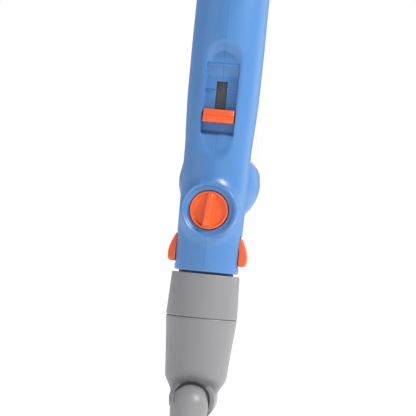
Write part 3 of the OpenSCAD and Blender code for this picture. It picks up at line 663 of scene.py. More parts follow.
knob = dict(z=278.7, radius=16.5, rim=-30.5, face=-28.6, back=-23,
            bar=dict(top=-34.3, tilt=5, left=3.7, flat=(2.9, 0.9), right=5.9, levels=24),
            ring=dict(bore=4.4, outer=25.1, hole=17.05, crest=-32.6, dish=-29.4, floor=-22, back=-19))


def knobRing():
    ring = knob["ring"]
    bore, outer, hole, crest = ring["bore"], ring["outer"], ring["hole"], ring["crest"]
    return spun([
        (bore, ring["back"]), (outer, ring["back"]), (outer, crest + 2.2, 2.5),
        (outer - 1.4, crest - 0.1, 1.6), (outer - 3.4, crest + 0.6, 2.2), (outer - 5.6, ring["dish"], 2.4),
        (hole, ring["dish"] + 0.4, 0.5), (hole, ring["floor"], 0.5), (bore, ring["floor"])],
        alongY(0, knob["z"]), 112, 5)


def knobDish():
    # a sunk face inside a soft rim, closed at the back round the stem
    radius, face = knob["radius"], knob["face"]
    return spun([
        (0, face), (radius - 2.7, face, 0.8), (radius - 2.0, knob["rim"], 0.7),
        (radius, knob["rim"], 0.8), (radius, knob["back"], 0.3), (0, knob["back"])],
        alongY(0, knob["z"]), 96, closed=False)


def knobBar(bm):
    # steep on the left flank, sloping gently into the face on the right
    bar, sections = knob["bar"], []
    lean = math.radians(bar["tilt"])
    reach = knob["radius"] - 1.2
    for k in range(bar["levels"] + 1):
        v = -reach + 2 * reach * k / bar["levels"]
        full = math.sqrt(max(0.0, 1 - (abs(v) / reach) ** 5))
        high = (knob["face"] - bar["top"]) * (0.25 + 0.75 * full)
        room = math.sqrt(max((knob["radius"] - 0.7) ** 2 - v * v, 1))
        right = min(bar["right"], room)
        outline = rounded([
            (-min(bar["left"], room), 0.6), (-min(bar["flat"][0], room * 0.9), -high, 0.8),
            (min(bar["flat"][1], room * 0.4), -high, 1.1), (right * 0.58, -high * 0.4, 2), (right, 0.6)],
            4, False)
        sections.append([Vector((u * math.cos(lean) + v * math.sin(lean), knob["face"] + h,
                                 knob["z"] + v * math.cos(lean) - u * math.sin(lean))) * mm
                         for u, h in outline])
    loft(bm, sections)


build("knobRing", "blue", "handle", ["knob_bezel"], knobRing(), angle=50)
build("steamKnob", "orange", "knob", ["steam_knob"], knobDish(), knobBar, angle=40)
print("knob and ring made")

# slider

slider = dict(half=13.4, low=354.8, high=366.3, front=-30.2, back=-22.3, edge=0.7,
              stem=dict(half=4.35, low=356.6, high=364.5, end=-17.75))


def sliderBar(bm):
    # the finger face is split by a fine groove: the upper half leans back
    low, high, front = slider["low"], slider["high"], slider["front"]
    middle = (low + high) / 2
    section = rounded([
        (slider["back"], low), (front + 0.3, low, 0.9), (front, middle - 0.5, 0.4),
        (front + 1.0, middle, 0.2), (front + 0.5, middle + 0.6, 0.4), (front + 2.8, high, 0.8),
        (slider["back"], high)])
    prism(bm, section, -slider["half"], slider["half"], alongX(), slider["edge"])


def sliderStem(bm):
    stem = slider["stem"]
    prism(bm, roundedBox(stem["half"], stem["low"], stem["high"], 1), slider["back"] - 0.4, stem["end"],
          alongY(), 0.3)


build("steamSlider", "orange", "slider", ["steam_slider"], sliderBar, sliderStem, angle=40)

# release buttons

button = dict(half=7.5, edge=1.6, outline=[
    (22.5, 257.2, 0.8), (28.8, 257.9, 1.2), (33.2, 248.5, 9), (35.0, 240, 6), (34.2, 233.1, 3.6),
    (26.2, 233.1, 0.6), (26.2, 248, 2), (22.5, 252, 1)])


def buttonShape(side):
    return lambda bm: prism(bm, rounded(button["outline"], 6), -button["half"], button["half"],
                            lambda a, b, h: Vector((side * a, h, b)) * mm, button["edge"], 4)


for side, word in sides:
    build("releaseButton" + word, "orange", word.lower() + "_release",
          ["release_button_" + word.lower()], buttonShape(side), angle=38)
print("slider and buttons made")

# neck: collar, barrel and spigot

neck = dict(
    ringZ=115, ringR=20, half=17, seamZ=186, seamR=31.3, topZ=224, topR=29.7, bore=24.5,
    pinBore=13.6, mouth=15.6,
    # the barrel's foot is flattened round the ring: height, half width, half depth, squareness
    levels=[(101, 14.0, 12.6, 5.0), (107, 18.0, 13.0, 5.0), (114, 19.6, 13.2, 4.6), (119, 20.2, 13.6, 4.2),
            (123, 21.4, 14.6, 3.6), (127, 23.6, 17.0, 3.0), (130.5, 25.7, 20.4, 2.5),
            (133.5, 26.9, 23.6, 2.2), (138, 27.4, 25.8, 2.05), (146, 27.9, 27.0, 2.0),
            (156, 28.7, 28.2, 2.0), (170, 29.9, 29.7, 2.0), (184.6, 31.15, 31.15, 2.0)],
    shoulder=[(185.3, 31.1), (185.8, 30.8), (186, 30.2), (186, 0.01)])


def collarShape():
    bore, seamZ, seamR, topZ = neck["bore"], neck["seamZ"], neck["seamR"], neck["topZ"]
    return spun([(bore, seamZ + 0.3), (seamR - 0.5, seamZ + 0.3, 0.3), (seamR, seamZ + 1.0, 0.5),
                   (neck["topR"], topZ, 0.9), (bore, topZ, 0.5)], upright(), 96)


def barrelShape(bm):
    rings = [superellipse((0, 0), wide, deep, power, z, 96)
             for z, wide, deep, power in smoothPath(neck["levels"], 4)]
    rings += [superellipse((0, 0), wide, wide, 2.0, z, 96) for z, wide in neck["shoulder"]]
    loft(bm, rings)


def makeBarrel():
    half, bore, mouth, place = neck["half"], neck["pinBore"], neck["mouth"], alongY(0, neck["ringZ"])
    # the swivel ring stands proud of the barrel as a soft-edged round
    boss = spun([(bore - 4, -half), (neck["ringR"], -half - 0.02, 1.8), (neck["ringR"], half, 1.8),
                   (bore - 4, half)], place, 96, 5)
    piece = newPiece("neckBarrel", "grey", barrelShape)
    combine(piece, newPiece("ringBoss", "grey", boss), "UNION")
    cutAway(piece, spun([
        (0, -30), (mouth + 0.9, -30), (mouth + 0.9, -half - 0.4), (mouth, -half + 0.8),
        (bore + 0.8, -half + 3), (bore, -half + 3), (bore, 30), (0, 30)], place, 96, 3, closed=False))
    fit(piece, "handle", ["neck_barrel"], 38)


build("neckCollar", "grey", "handle", ["neck_collar"], collarShape(), angle=40)
makeBarrel()
# the spigot's navy is partly its own blue and partly painted shade of the gap
build("bodySpigot", "navy", "handle", ["body_spigot"],
      spun([(5.1, 192), (24, 192, 0.6), (24, 231.4, 0.8), (5.1, 231.4)], upright(), 80),
      lambda bm: prism(bm, roundedBox(16, -7, 7, 1.5), 230.6, 250.8, upright(), 0.8))

# arm

arm = dict(
    elbow=(0, -33.7, 112), elbowR=16.3, hinge=(-30, 38), knuckle=20, knuckleR=10.95, pinR=4.06,
    trunnionR=13.5,
    # height, half width, half depth, squareness
    levels=[(38, 14.4, 8.2, 4.0), (44, 14.2, 9.2, 3.4), (50, 13.6, 10.8, 2.7), (56, 13.0, 12.2, 2.2),
            (62, 12.9, 12.8, 2.0), (72, 13.5, 13.5, 2.0), (84, 14.3, 14.3, 2.0), (96, 15.2, 15.2, 2.0),
            (104, 15.8, 15.8, 2.0), (109, 16.2, 16.2, 2.0)])


def armShape(bm):
    (_, elbowY, top), (hingeY, low), radius = arm["elbow"], arm["hinge"], arm["elbowR"]
    rings = []
    for z, wide, deep, power in arm["levels"]:
        t = (z - low) / (top - low)
        rings.append(superellipse((0, hingeY + (elbowY - hingeY) * t), wide, deep, power, z))
    for k in range(1, 12):
        a = math.radians(90 * k / 12)
        level = radius * math.cos(a)
        rings.append(superellipse(arm["elbow"][:2], level, level, 2.0, top + radius * math.sin(a)))
    loft(bm, rings + [[Vector((0, elbowY, top + radius)) * mm]])


def armTrunnion():
    radius = arm["trunnionR"]
    return spun([(2.5, -30), (radius, -30), (radius, 17.2, 0.6), (2.5, 17.2)],
                  alongY(0, neck["ringZ"]), 72)


def armKnuckle():
    half, radius, bore = arm["knuckle"], arm["knuckleR"], arm["pinR"]
    return spun([(bore, -half), (radius, -half, 0.9), (radius, half, 0.9), (bore, half)],
                  alongX(*arm["hinge"]))


build("swivelArm", "grey", "arm", ["swivel_arm"], armShape, armTrunnion(), armKnuckle(), angle=45)
print("neck and arm made")

# front unit: cowl, gasket, tank and water share one drop outline

front = dict(y=42, z=308, radius=37, tip=8.5, tipZ=471.5, seamY=38, seamZ=320, slope=25, low=200, high=520,
             bodyR=32.2, saddle=33.2, capY=47, capZ=308.5, socket=13.5, gasket=0.8, gap=0.3, tankWall=2.0,
             waterZ=418, waterGap=0.05)
lift = front["gasket"] + front["gap"]


def dropPoints(inner, steps=40):
    rise = front["tipZ"] - front["z"]
    lean = math.asin((front["radius"] - front["tip"]) / rise)
    low, top = front["radius"] - inner, front["tip"] - inner
    points = [(0, -low)]
    points += [(low * math.cos(a), low * math.sin(a)) for a in
               [math.radians(-90) + (lean + math.radians(90)) * k / steps for k in range(1, steps + 1)]]
    flank = [(top * math.cos(lean), rise + top * math.sin(lean))]
    points += [tuple(Vector(points[-1]).lerp(Vector(flank[0]), k / 16)) for k in range(1, 16)] + flank
    points += [(top * math.cos(a), rise + top * math.sin(a)) for a in
               [lean + (math.radians(90) - lean) * k / 10 for k in range(1, 10)]]
    return points + [(0, rise + top)]


def dropSolid(inner):
    return lambda bm: lathe(bm, dropPoints(inner), upright(0, front["y"], front["z"]), 96)


def seamBlock(raised, above, size=150):
    # everything above or below the sloping seam
    tilt = math.radians(-front["slope"])
    rings = [[Vector((x, front["seamY"] + y * math.cos(tilt) - end * math.sin(tilt),
                      front["seamZ"] + raised + y * math.sin(tilt) + end * math.cos(tilt))) * mm
              for x, y in ((-size, -size), (size, -size), (size, size), (-size, size))]
             for end in ((0, 2 * size) if above else (-2 * size, 0))]
    return lambda bm: loft(bm, rings)


def post(radius, high=front["high"], y=0, low=front["low"]):
    return rod(radius, low, high, upright(0, y))


def softenEdges(piece, width):
    soft = piece.modifiers.new("soft", "BEVEL")
    soft.width = width * mm
    soft.segments = 2
    soft.limit_method = "ANGLE"
    soft.angle_limit = math.radians(35)
    settle(piece)


def makeFront():
    saddle, wall, spare = front["saddle"], front["tankWall"], front["waterGap"]
    capY, capZ = front["capY"], front["capZ"]
    cowl = carved("boilerCowl", "blue", dropSolid(0), seamBlock(0, True), post(front["bodyR"]),
                  post(front["socket"], 500, capY, capZ - 0.5))
    softenEdges(cowl, 0.7)
    fit(cowl, "handle", ["boiler_cowl"], 30)
    gasket = carved("tankGasket", "orangeSeal", dropSolid(0.15), seamBlock(front["gasket"], True),
                    seamBlock(0, False), post(saddle), dropSolid(3.4))
    softenEdges(gasket, 0.15)
    fit(gasket, "handle", ["tank_gasket"], 30)
    water = carved("tankWater", "water", dropSolid(wall + spare), seamBlock(lift + wall + spare, False),
                   post(saddle + wall + spare), post(front["socket"] + wall, capZ + 13.2, capY),
                   rod(120, front["waterZ"], front["high"], upright(0, front["y"]), 32))
    fit(water, "tank", (), 30)


def makeTank():
    wall, saddle, capY, capZ = front["tankWall"], front["saddle"], front["capY"], front["capZ"]
    hollow = carved("tankHollow", "tank", dropSolid(wall), seamBlock(lift + wall, False),
                    post(saddle + wall), post(front["socket"] + 0.9, capZ + 12.4, capY))
    tank = carved("waterTank", "tank", dropSolid(0), seamBlock(lift, False), post(saddle))
    softenEdges(tank, 0.8)
    combine(tank, hollow)
    cutAway(tank, post(12.4, capZ + 10.6, capY), post(7.6, capZ + 15, capY))
    fit(tank, "tank", ["water_tank"], 30)
    # the threaded neck that the cap turns on, the cap, and the valve in it
    place = upright(0, capY)
    build("tankNeck", "tank", "tank", (),
          spun([(7.6, 311.2), (9.55, 311.2, 0.4), (9.55, 319.3), (7.6, 319.3)], place, 48))
    build("tankCap", "orange", "cap", ["tank_cap"], spun([
        (3.05, 308.6, 0.3), (8.5, 308.6, 0.5), (8.9, 309.2, 0.3), (11, 309.2, 0.6), (11.95, 309.8, 0.5),
        (11.95, 318.4, 0.4), (9.7, 318.4), (9.7, 310.6), (3.05, 310.6)], place, 72))
    build("tankValve", "brass", "tank", ["tank_valve"], spun([
        (0, 308.6), (2.6, 308.6, 0.5), (2.6, 311.1), (4.9, 311.3, 0.4), (4.9, 312.6, 0.4), (2.6, 312.8),
        (2.6, 316.4, 0.7), (0, 316.4)], place, 40, closed=False))


makeFront()
print("front unit made")
makeTank()
print("tank made")

# Geometry Nodes: one tree repeats a shape along a path


def repeatTree():
    tree = bpy.data.node_groups.new("repeatAlongPath", "GeometryNodeTree")
    for name, kind in (("Path", "Geometry"), ("Item", "Object"), ("Spacing", "Float"), ("Tilt", "Float"),
                       ("Seed", "Int"), ("Finish", "Material")):
        tree.interface.new_socket(name, in_out="INPUT", socket_type="NodeSocket" + kind)
    tree.interface.new_socket("Pieces", in_out="OUTPUT", socket_type="NodeSocketGeometry")
    given = addNode(tree, "NodeGroupInput").outputs
    curve = addNode(tree, "GeometryNodeMeshToCurve", {"Mesh": given["Path"]})
    spaced = addNode(tree, "GeometryNodeResampleCurve", {
        "Curve": curve.outputs[0], "Length": given["Spacing"]}, mode="LENGTH")
    along = addNode(tree, "GeometryNodeInputTangent")
    facing = addNode(tree, "FunctionNodeAlignRotationToVector", {"Vector": along.outputs[0]},
                     axis="X", pivot_axis="Z")
    least = addNode(tree, "ShaderNodeMath", {0: given["Tilt"], 1: -1.0}, operation="MULTIPLY")
    lean = addNode(tree, "FunctionNodeRandomValue", {
        "Min": least.outputs[0], "Max": given["Tilt"], "Seed": given["Seed"]}, data_type="FLOAT")
    axis = addNode(tree, "ShaderNodeCombineXYZ", {"X": lean.outputs[1], "Z": lean.outputs[1]})
    turned = addNode(tree, "FunctionNodeRotateRotation", {
        "Rotation": facing.outputs[0], "Rotate By": axis.outputs[0]}, rotation_space="LOCAL")
    item = addNode(tree, "GeometryNodeObjectInfo", {"Object": given["Item"]})
    many = addNode(tree, "GeometryNodeInstanceOnPoints", {
        "Points": spaced.outputs[0], "Instance": item.outputs["Geometry"], "Rotation": turned.outputs[0]})
    real = addNode(tree, "GeometryNodeRealizeInstances", {"Geometry": many.outputs[0]})
    done = addNode(tree, "GeometryNodeSetMaterial", {
        "Geometry": real.outputs[0], "Material": given["Finish"]})
    addNode(tree, "NodeGroupOutput", {"Pieces": done.outputs[0]})
    return tree


repeater = repeatTree()


def repeat(name, path, item, spacing, finish, body, stands=(), tilt=0.0, seed=1):
    # path is in mm in the part's frame; the item is drawn about the origin with X along the path
    mesh = bpy.data.meshes.new(name)
    mesh.from_pydata([Vector(p) * mm for p in path], [(i, i + 1) for i in range(len(path) - 1)], [])
    piece = link(bpy.data.objects.new(name, mesh))
    model = newPiece(name + "Item", finish, item)
    nodes = piece.modifiers.new("repeat", "NODES")
    nodes.node_group = repeater
    sockets = {s.name: s.identifier for s in repeater.interface.items_tree if s.in_out == "INPUT"}
    for key, value in (("Item", model), ("Spacing", spacing * mm), ("Tilt", tilt), ("Seed", seed),
                       ("Finish", finishes[finish][0])):
        nodes[sockets[key]] = value
    settle(piece)
    bpy.data.objects.remove(model)
    return fit(piece, body, stands, 35)


# head

head = dict(
    corners=[(43.8, 72), (-43.8, 72), (-112, -62), (112, -62)], radius=34, steps=16, hinge=(-30, 38),
    ear=(20.4, 29.4), earR=11, pinR=4, pinHalf=30.3,
    # distance inwards from the outline, and height
    cover=[(7, 15), (6.2, 15), (6, 15.4), (6, 17.4), (6.6, 17.7), (6.6, 18.2), (6.1, 18.5), (6.3, 20.2),
           (7.0, 21.6), (8.4, 22.9), (10.4, 23.9), (13, 24.7), (16.4, 25.3), (21, 25.7), (27, 25.92),
           (33, 26)],
    bumper=[(4.9, 10.05), (2, 10.05), (1.2, 10.5), (0.9, 11.4), (1.3, 12.1), (1.3, 12.9), (0.9, 13.6),
            (1.2, 14.5), (2, 14.95), (4.9, 14.95)],
    binding=[(2.2, 4.6), (1.0, 4.7), (0.5, 5.4), (0.5, 6.8), (1.0, 7.6), (2.2, 7.7)])


def headOutline(inward):
    corners = [Vector(c) for c in head["corners"]]
    points = []

    def edgeAngle(i):
        d = corners[(i + 1) % 4] - corners[i % 4]
        return math.atan2(-d.x, d.y)

    for i in range(4):
        first = edgeAngle(i + 3)
        turn = (edgeAngle(i) - first) % math.tau
        for k in range(head["steps"] + 1):
            a = first + turn * k / head["steps"]
            points.append((corners[i].x + (head["radius"] - inward) * math.cos(a),
                           corners[i].y + (head["radius"] - inward) * math.sin(a)))
    return points


def headLoft(levels, loop=False):
    return lambda bm: loft(bm, [[Vector((x, y, z)) * mm for x, y in headOutline(inward)]
                                for inward, z in levels], loop=loop)


def earShape(side):
    (y, z), r = head["hinge"], head["earR"]
    foot = [(5, 24.8), (1.6, 26.4), (0, 30.5)]
    outline = [(y - r - out, height) for out, height in foot]
    outline += [(y - r * math.cos(math.radians(a)), z + r * math.sin(math.radians(a)))
                for a in range(0, 181, 9)]
    outline += [(y + r + out, height) for out, height in foot[::-1]]
    return lambda bm: prism(bm, outline, *head["ear"], lambda a, b, h: Vector((side * h, a, b)) * mm,
                            1.2, 4)


def hingePin():
    radius, half = head["pinR"], head["pinHalf"]
    return spun([(0, -half), (radius - 1.1, -half, 0.6), (radius, -half + 1.1), (radius, half - 1.1),
                   (radius - 1.1, half, 0.6), (0, half)], alongX(*head["hinge"]), 40, closed=False)


build("headCover", "grey", "head", ["head_top_cover"], headLoft(head["cover"]), earShape(1), earShape(-1),
      angle=30)
build("hingePin", "steel", "head", ["head_hinge_pin"], hingePin())
build("headBumper", "rubber", "head", ["head_bumper"], headLoft(head["bumper"], True), angle=50)

# pad: a cloth cushion, its edge binding, its loops and its stitches

pad = dict(inward=1.6, low=0.9, high=8.0, voxel=4.5, pressure=4.0, swell=2.2, frames=20, top=8.95, flat=1.4,
           loops=dict(inward=1.4, z=2.2, pitch=2.6), stitches=dict(inward=0.45, z=6.1, pitch=4.2))


def padSolid():
    inward, low, high = pad["inward"], pad["low"], pad["high"]
    return headLoft([(inward + 5, low), (inward + 1.5, low + 0.5), (inward, low + 2.6), (inward, high - 2.2),
                     (inward + 1.2, high - 0.6), (inward + 5, high)])


def stuff(piece):
    # blows the cushion up, and holds every point near its start
    before = [v.co.copy() for v in piece.data.vertices]
    cloth = piece.modifiers.new("stuffing", "CLOTH")
    cloth.settings.use_pressure = True
    cloth.settings.uniform_pressure_force = pad["pressure"]
    cloth.settings.quality = 6
    cloth.settings.effector_weights.gravity = 0
    scene = bpy.context.scene
    for step in range(1, pad["frames"] + 1):
        scene.frame_set(step)
    settle(piece)
    scene.frame_set(1)
    for v, start in zip(piece.data.vertices, before):
        moved = v.co - start
        if moved.length > pad["swell"] * mm:
            v.co = start + moved.normalized() * pad["swell"] * mm


def flatten(piece, flat=0.0):
    for v in piece.data.vertices:
        v.co.z = min(max(v.co.z, 0.0), pad["top"] * mm)
        if v.co.z < flat * mm:
            v.co.z = 0.0


def makePad():
    piece = newPiece("microfibrePad", "cloth", padSolid())
    remesh = piece.modifiers.new("voxels", "REMESH")
    remesh.mode = "VOXEL"
    remesh.voxel_size = pad["voxel"] * mm
    settle(piece)
    stuff(piece)
    flatten(piece, pad["flat"])
    fine = piece.modifiers.new("fine", "SUBSURF")
    fine.levels = fine.render_levels = 1
    settle(piece)
    flatten(piece)
    fit(piece, "head", ["microfiber_pad"], 80)


def tuftShape(bm):
    lathe(bm, [(0, -1.6), (0.9, -1.2), (1.25, 0), (1.0, 1.2), (0, 1.7)], alongX(), 7)


def stitchShape(bm):
    tube(bm, [(-1.3, 0, 0), (-0.9, 0, 0.28), (0, 0, 0.36), (0.9, 0, 0.28), (1.3, 0, 0)], 0.26, 6)


makePad()
loops, stitches = pad["loops"], pad["stitches"]
repeat("padLoops", closedPath(headOutline(loops["inward"]), loops["z"]), tuftShape, loops["pitch"], "cloth",
       "head", tilt=0.5, seed=4)
build("padBinding", "cloth", "head", (), headLoft(head["binding"], True), angle=60)
repeat("padStitches", closedPath(headOutline(stitches["inward"]), stitches["z"]), stitchShape,
       stitches["pitch"], "dark", "head")
print("head and pad made")

# screws on the body's left side, in their cups

screws = dict(y=18, z=(345, 425, 520), head=-18.2, radius=2.9, hole=3.15, cup=4.7)


def screwCup(z):
    reach = math.sqrt(skinRadius(z) ** 2 - screws["y"] ** 2)
    return lambda bm: lathe(bm, [(3.1, -reach + 2.4), (screws["cup"], -reach + 4.4), (screws["cup"], -15.6),
                                 (0, -15.6), (0, -15.9), (3.1, -15.9)], alongX(screws["y"], z), 32, loop=True)


def makeScrews():
    y, start, radius = screws["y"], screws["head"], screws["radius"]
    shellLeft = bpy.data.objects["bodyShellLeft"]
    cutAway(shellLeft, *[rod(screws["hole"], -45, -18, alongX(y, z), 32) for z in screws["z"]])
    shade(shellLeft.data, 40)
    build("screwCups", "blue", "handle", (), *[screwCup(z) for z in screws["z"]])
    # a pan head with a cross recess, looking along -X of the part
    panHead = spun([(0, 2.2), (radius, 2.2), (radius, 0.9, 0.8), (2.1, 0.0, 0.5), (1.35, 0.0), (1.0, 0.8),
                      (0, 0.9)], alongX(), 32, 3, closed=False)
    for i, z in enumerate(screws["z"]):
        repeat("bodyScrew%d" % (i + 1), [(start, y, z), (start + 40, y, z)], panHead, 60, "steel", "handle",
               () if i else ["body_screws"])


# pole, its collar and its button

pole = dict(lowerR=12.5, upperR=11.2, wall=1.2, low=(520, 801.5), high=(753.5, 1063), latchZ=771.5,
            latchR=4.06, collar=(783.5, 815.5), collarR=16, bores=(12.6, 11.3),
            ribs=dict(radius=15.35, z=797, count=36, half=7.5))


def makePole(name, radius, ends, node):
    inner, (low, high) = radius - pole["wall"], ends
    piece = carved(name, "pole", spun([
        (inner, low, 0.3), (radius, low, 0.4), (radius, high, 0.4), (inner, high, 0.3)], upright(), 72),
        rod(pole["latchR"], -30, 0, alongY(0, pole["latchZ"]), 40))
    fit(piece, "handle", [node], 35)


def collarSleeve():
    (low, high), r, (wide, narrow) = pole["collar"], pole["collarR"], pole["bores"]
    return spun([
        (wide, low), (r - 1.4, low, 0.8), (r, low + 2.5, 1.2), (r - 0.6, low + 5, 0.6),
        (r - 0.6, high - 9, 0.6), (r, high - 7, 0.8), (r, high - 3, 1.6), (r - 2.8, high, 0.8),
        (narrow, high), (narrow, low + 18), (wide, low + 18)], upright(), 80)


def ribShape(bm):
    half = pole["ribs"]["half"]
    prism(bm, rounded([(-0.7, -0.5), (0.7, -0.5), (0.7, 0.6, 0.5), (-0.7, 0.6, 0.5)], 2), -half, half,
          lambda a, b, h: Vector((a, -b, h)) * mm, 0.3, 2)


def ringPoints(radius, steps):
    return [(radius * math.cos(math.tau * k / steps), radius * math.sin(math.tau * k / steps))
            for k in range(steps)]


makeScrews()
makePole("poleLower", pole["lowerR"], pole["low"], "pole_lower")
makePole("poleUpper", pole["upperR"], pole["high"], "pole_upper")
build("poleCollar", "dark", "handle", ["pole_collar"], collarSleeve(), angle=35)
ribs = pole["ribs"]
repeat("collarRibs", closedPath(ringPoints(ribs["radius"], 120), ribs["z"]), ribShape,
       math.tau * ribs["radius"] / ribs["count"], "dark", "handle")
build("poleButton", "steel", "pole_latch", ["pole_button"], spun([
    (0, -15.3), (3.2, -15.2, 1.2), (4, -13.6, 0.8), (4, -8.2), (0, -8.2)],
    alongY(0, pole["latchZ"]), 40, 5, closed=False), angle=40)

# cord hooks and cord inlet

hooks = dict(stem=6.4, lipHalf=9, lipT=6, lipRound=7.5,
             lower=dict(z=520, root=-33.1, end=-60.1, lip=(492, 528)),
             upper=dict(z=933, root=-19.8, end=-46.8, lip=(925, 961)))
inlet = dict(z=542, bore=3.65, rib=(6.9, 6.2, 6.2, 6.8), start=-34.6, pitch=1.7, taper=0.12, ribs=4,
             end=-41.15)


def hookStem(plan):
    root, end, radius = plan["root"], plan["end"], hooks["stem"]
    return spun([
        (0, root + 0.3), (8.6, root + 0.2), (8.2, root - 2.4, 1.5), (radius, root - 8, 3),
        (radius, end + 5, 3), (8, end - 1), (0, end - 1)], alongY(0, plan["z"]), 48, 5, closed=False)


def hookLip(plan):
    outline = roundedBox(hooks["lipHalf"], *plan["lip"], hooks["lipRound"], 7)
    return lambda bm: prism(bm, outline, plan["end"] - hooks["lipT"], plan["end"], alongY(), 2.4, 5)


def inletShape():
    bore, end = inlet["bore"], inlet["end"]
    points = [(bore, -29.7), (7, -29.7), (7, -32.3), (8.5, -32.4, 0.4), (8.5, -33.7, 0.6), (7, -33.8)]
    for k in range(inlet["ribs"]):
        y, less = inlet["start"] - inlet["pitch"] * k, inlet["taper"] * k
        a, b, c, d = (radius - less for radius in inlet["rib"])
        points += [(a, y), (b, y - 0.4, 0.2), (c, y - 0.9, 0.2), (d, y - 1.3)]
    return spun(points + [(6.3, end, 0.8), (bore, end, 0.6)], alongY(0, inlet["z"]), 56, 3)


build("lowerCordHook", "blue", "handle", ["cord_hook_lower"],
      hookStem(hooks["lower"]), hookLip(hooks["lower"]), spun([
          (0, -31.5), (10, -31.5), (10, -33.6, 0.8), (0, -33.7)], alongY(0, hooks["lower"]["z"]), 48,
          closed=False), angle=35)
build("upperCordHook", "dark", "upper_hook", ["cord_hook_upper"], hookStem(hooks["upper"]),
      hookLip(hooks["upper"]), angle=35)
# the clamp is a sleeve round the pole and a boss for the hook
build("hookClamp", "dark", "handle", ["hook_clamp"],
      spun([(11.3, 921), (14.4, 921, 1), (15.7, 923, 1.6), (15.7, 943, 1.6), (14.4, 945, 1), (11.3, 945)],
             upright(), 72, 5),
      spun([(0, -11.8), (9, -11.8), (9, -19.3, 0.8), (3.2, -19.3), (0, -19.3)],
             alongY(0, hooks["upper"]["z"]), 48, closed=False), angle=35)
build("cordInlet", "rubber", "handle", ["cord_inlet"], inletShape(), angle=35)
print("pole and hooks made")

# grip

grip = dict(
    # y, z and radius along the grip, softened to three times as many levels
    path=smoothPath([
        (0, 1043.4, 9.0), (0, 1044.4, 12.2), (0, 1047.5, 15.2), (-0.1, 1053, 16.8), (-0.4, 1062, 17.2),
        (-1.6, 1072, 17.8), (-3.4, 1084, 18.5), (-6, 1097.8, 18.95), (-10.2, 1108, 18.7),
        (-15.6, 1120, 18.3), (-21, 1133, 17.9), (-27.2, 1147.5, 17.4), (-32.5, 1159.6, 17.1),
        (-35.4, 1166.5, 15.9), (-37.9, 1172.4, 13.1), (-39.6, 1176.4, 9.0), (-40.5, 1178.5, 4.6)], 3),
    seam=0.45, lensZ=1065, slot=dict(half=7.5, low=1067.5, high=1123.5, back=-6.4),
    pad=dict(low=1104, high=1160, half=66, steps=32, rise=1.15),
    ribs=dict(low=1108, high=1157, lean=23.4, reach=18.6, half=52, steps=16, pitch=4.2),
    trigger=dict(pivot=(-4, 1116.8), half=6.9, edge=1.8))


def gripCentre(i):
    y, z, _ = grip["path"][i]
    before, after = grip["path"][max(i - 1, 0)], grip["path"][min(i + 1, len(grip["path"]) - 1)]
    lean = Vector((0, after[0] - before[0], after[1] - before[1])).normalized()
    if i < 5:
        lean = Vector((0, 0, 1)).lerp(lean, i / 5).normalized()
    return Vector((0, y, z)), lean


def gripAngles():
    # every six degrees, and closer on both sides of the seam
    base = [math.radians(k * 6) for k in range(60) if k * 6 not in (90, 270)]
    extra = [math.radians(m + d) for m in (90, 270) for d in (-1.8, -0.9, 0, 0.9, 1.8)]
    return sorted(base + extra)


def gripRing(i, proud=0.0, angles=None):
    centre, ahead = gripCentre(i)
    across = Vector((1, 0, 0))
    back = ahead.cross(across)
    radius = grip["path"][i][2] + proud
    ring = []
    for a in angles or gripAngles():
        near = min(abs(math.degrees(a) - m) for m in (90, 270))
        r = radius - (grip["seam"] * max(0.0, 1 - near / 1.6) if not proud else 0)
        ring.append((centre + across * (r * 0.97 * math.cos(a)) + back * (r * math.sin(a))) * mm)
    return ring


def gripCore(bm):
    loft(bm, [gripRing(i) for i in range(len(grip["path"]))])


def triggerSlot(bm):
    slot = grip["slot"]
    prism(bm, roundedBox(slot["half"], slot["low"], slot["high"], 4, 5), slot["back"], 60, alongY(), 0.1, 1)


def gripPad(bm):
    # a soft pad over the back of the grip that fades at its edges
    plan = grip["pad"]
    steps = plan["steps"]
    rings = [i for i, level in enumerate(grip["path"]) if plan["low"] < level[1] < plan["high"]]
    angles = [math.radians(270 - plan["half"] + 2 * plan["half"] * k / steps) for k in range(steps + 1)]
    outer, inner = [], []
    for j, i in enumerate(rings):
        rise = plan["rise"] * smooth((min(j, len(rings) - 1 - j) + 0.35) / 1.6)
        high, low = gripRing(i, 0.05 + rise, angles), gripRing(i, -0.8, angles)
        for k in range(steps + 1):
            side = smooth((min(k, steps - k) + 0.3) / 3)
            high[k] = low[k].lerp(high[k], 0.45 + 0.55 * side)
        outer.append([bm.verts.new(p) for p in high])
        inner.append([bm.verts.new(p) for p in low])
    for j in range(len(rings) - 1):
        for k in range(steps):
            bm.faces.new([outer[j][k], outer[j][k + 1], outer[j + 1][k + 1], outer[j + 1][k]])
            bm.faces.new([inner[j][k], inner[j + 1][k], inner[j + 1][k + 1], inner[j][k + 1]])
        for k in (0, steps):
            bm.faces.new([outer[j][k], outer[j + 1][k], inner[j + 1][k], inner[j][k]])
    for j in (0, len(rings) - 1):
        for k in range(steps):
            bm.faces.new([outer[j][k], outer[j][k + 1], inner[j][k + 1], inner[j][k]])


def padRib(bm):
    # a low rib that follows the pad round, drawn at the lean of the grip
    plan = grip["ribs"]
    lean, reach, half = math.radians(plan["lean"]), plan["reach"], plan["half"]
    arc = []
    for k in range(plan["steps"] + 1):
        turn = math.radians(-half + 2 * half * k / plan["steps"])
        drop = reach * (math.cos(turn) - 1)
        arc.append((drop * math.cos(lean), reach * 0.97 * math.sin(turn), -drop * math.sin(lean)))
    tube(bm, arc, lambda t: 0.2 + 0.35 * math.sin(math.pi * t) ** 0.4, 8)


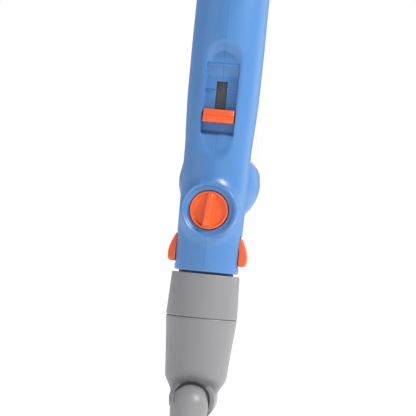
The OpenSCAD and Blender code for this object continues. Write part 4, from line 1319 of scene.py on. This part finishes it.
def ribPath():
    points = []
    for i, (_, z, radius) in enumerate(grip["path"]):
        if grip["ribs"]["low"] < z < grip["ribs"]["high"]:
            centre, ahead = gripCentre(i)
            points.append(centre - ahead.cross(Vector((1, 0, 0))) * (radius + 1.1))
    return points


def triggerShape(bm):
    plan = grip["trigger"]
    y, z = plan["pivot"]
    outline = rounded([(y - 4, z + 4, 1.5), (y + 6, z + 5, 1.5), (y + 14, z - 4, 5), (y + 26, z - 20, 7),
                       (y + 29, z - 34, 3.4), (y + 26, z - 42, 2.4), (y + 20, z - 44, 2), (y + 16, z - 32, 5),
                       (y + 8, z - 14, 6), (y, z - 6, 3), (y - 4, z - 4, 1)], 6)
    prism(bm, outline, -plan["half"], plan["half"], alongX(), plan["edge"], 4)


fit(carved("gripShell", "blue", gripCore, triggerSlot), "handle",
    ["grip_shell_left", "grip_shell_right"], 38)
build("gripPad", "rubber", "handle", ["grip_pad"], gripPad, angle=40)
repeat("gripPadRibs", ribPath(), padRib, grip["ribs"]["pitch"], "rubber", "handle")
build("triggerLever", "orange", "trigger", ["trigger_lever"], triggerShape, angle=40)
lensPlace = alongY(0, grip["lensZ"])
build("indicatorLens", "lens", "handle", ["indicator_lens"], spun([
    (0, -20.5), (2.4, -20.2, 1), (3.45, -18.6, 0.6), (3.45, -15.8), (0, -15.8)], lensPlace, 40, 5,
    closed=False), angle=40)
build("lensRing", "dark", "handle", (), spun([
    (3.55, -15), (5, -15), (5, -18.2, 0.7), (3.55, -18.4, 0.3)], lensPlace, 40, 3))
print("grip made")

# CAD nodes that keep their own shape

kept = dict(
    dark=["head_base_plate", "slider_carrier", "micro_switch"],
    hookTape=["hook_strips"],
    white=["steam_distributor", "pump"],
    steel=["head_screws", "swivel_washer", "swivel_screw", "release_pins", "release_spring_left",
           "release_spring_right", "slider_rod", "pole_button_spring", "trigger_spring"],
    seal=["swivel_o_ring"], cast=["boiler", "thermostat"], brass=["steam_nozzle", "valve_stem", "valve_body"],
    hose=["neck_steam_tube", "steam_hose", "boiler_hose", "suction_hose"])
for finish, names in kept.items():
    for name in names:
        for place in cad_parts[name].material_slots:
            place.material = finishes[finish][0]
print("kept nodes finished")
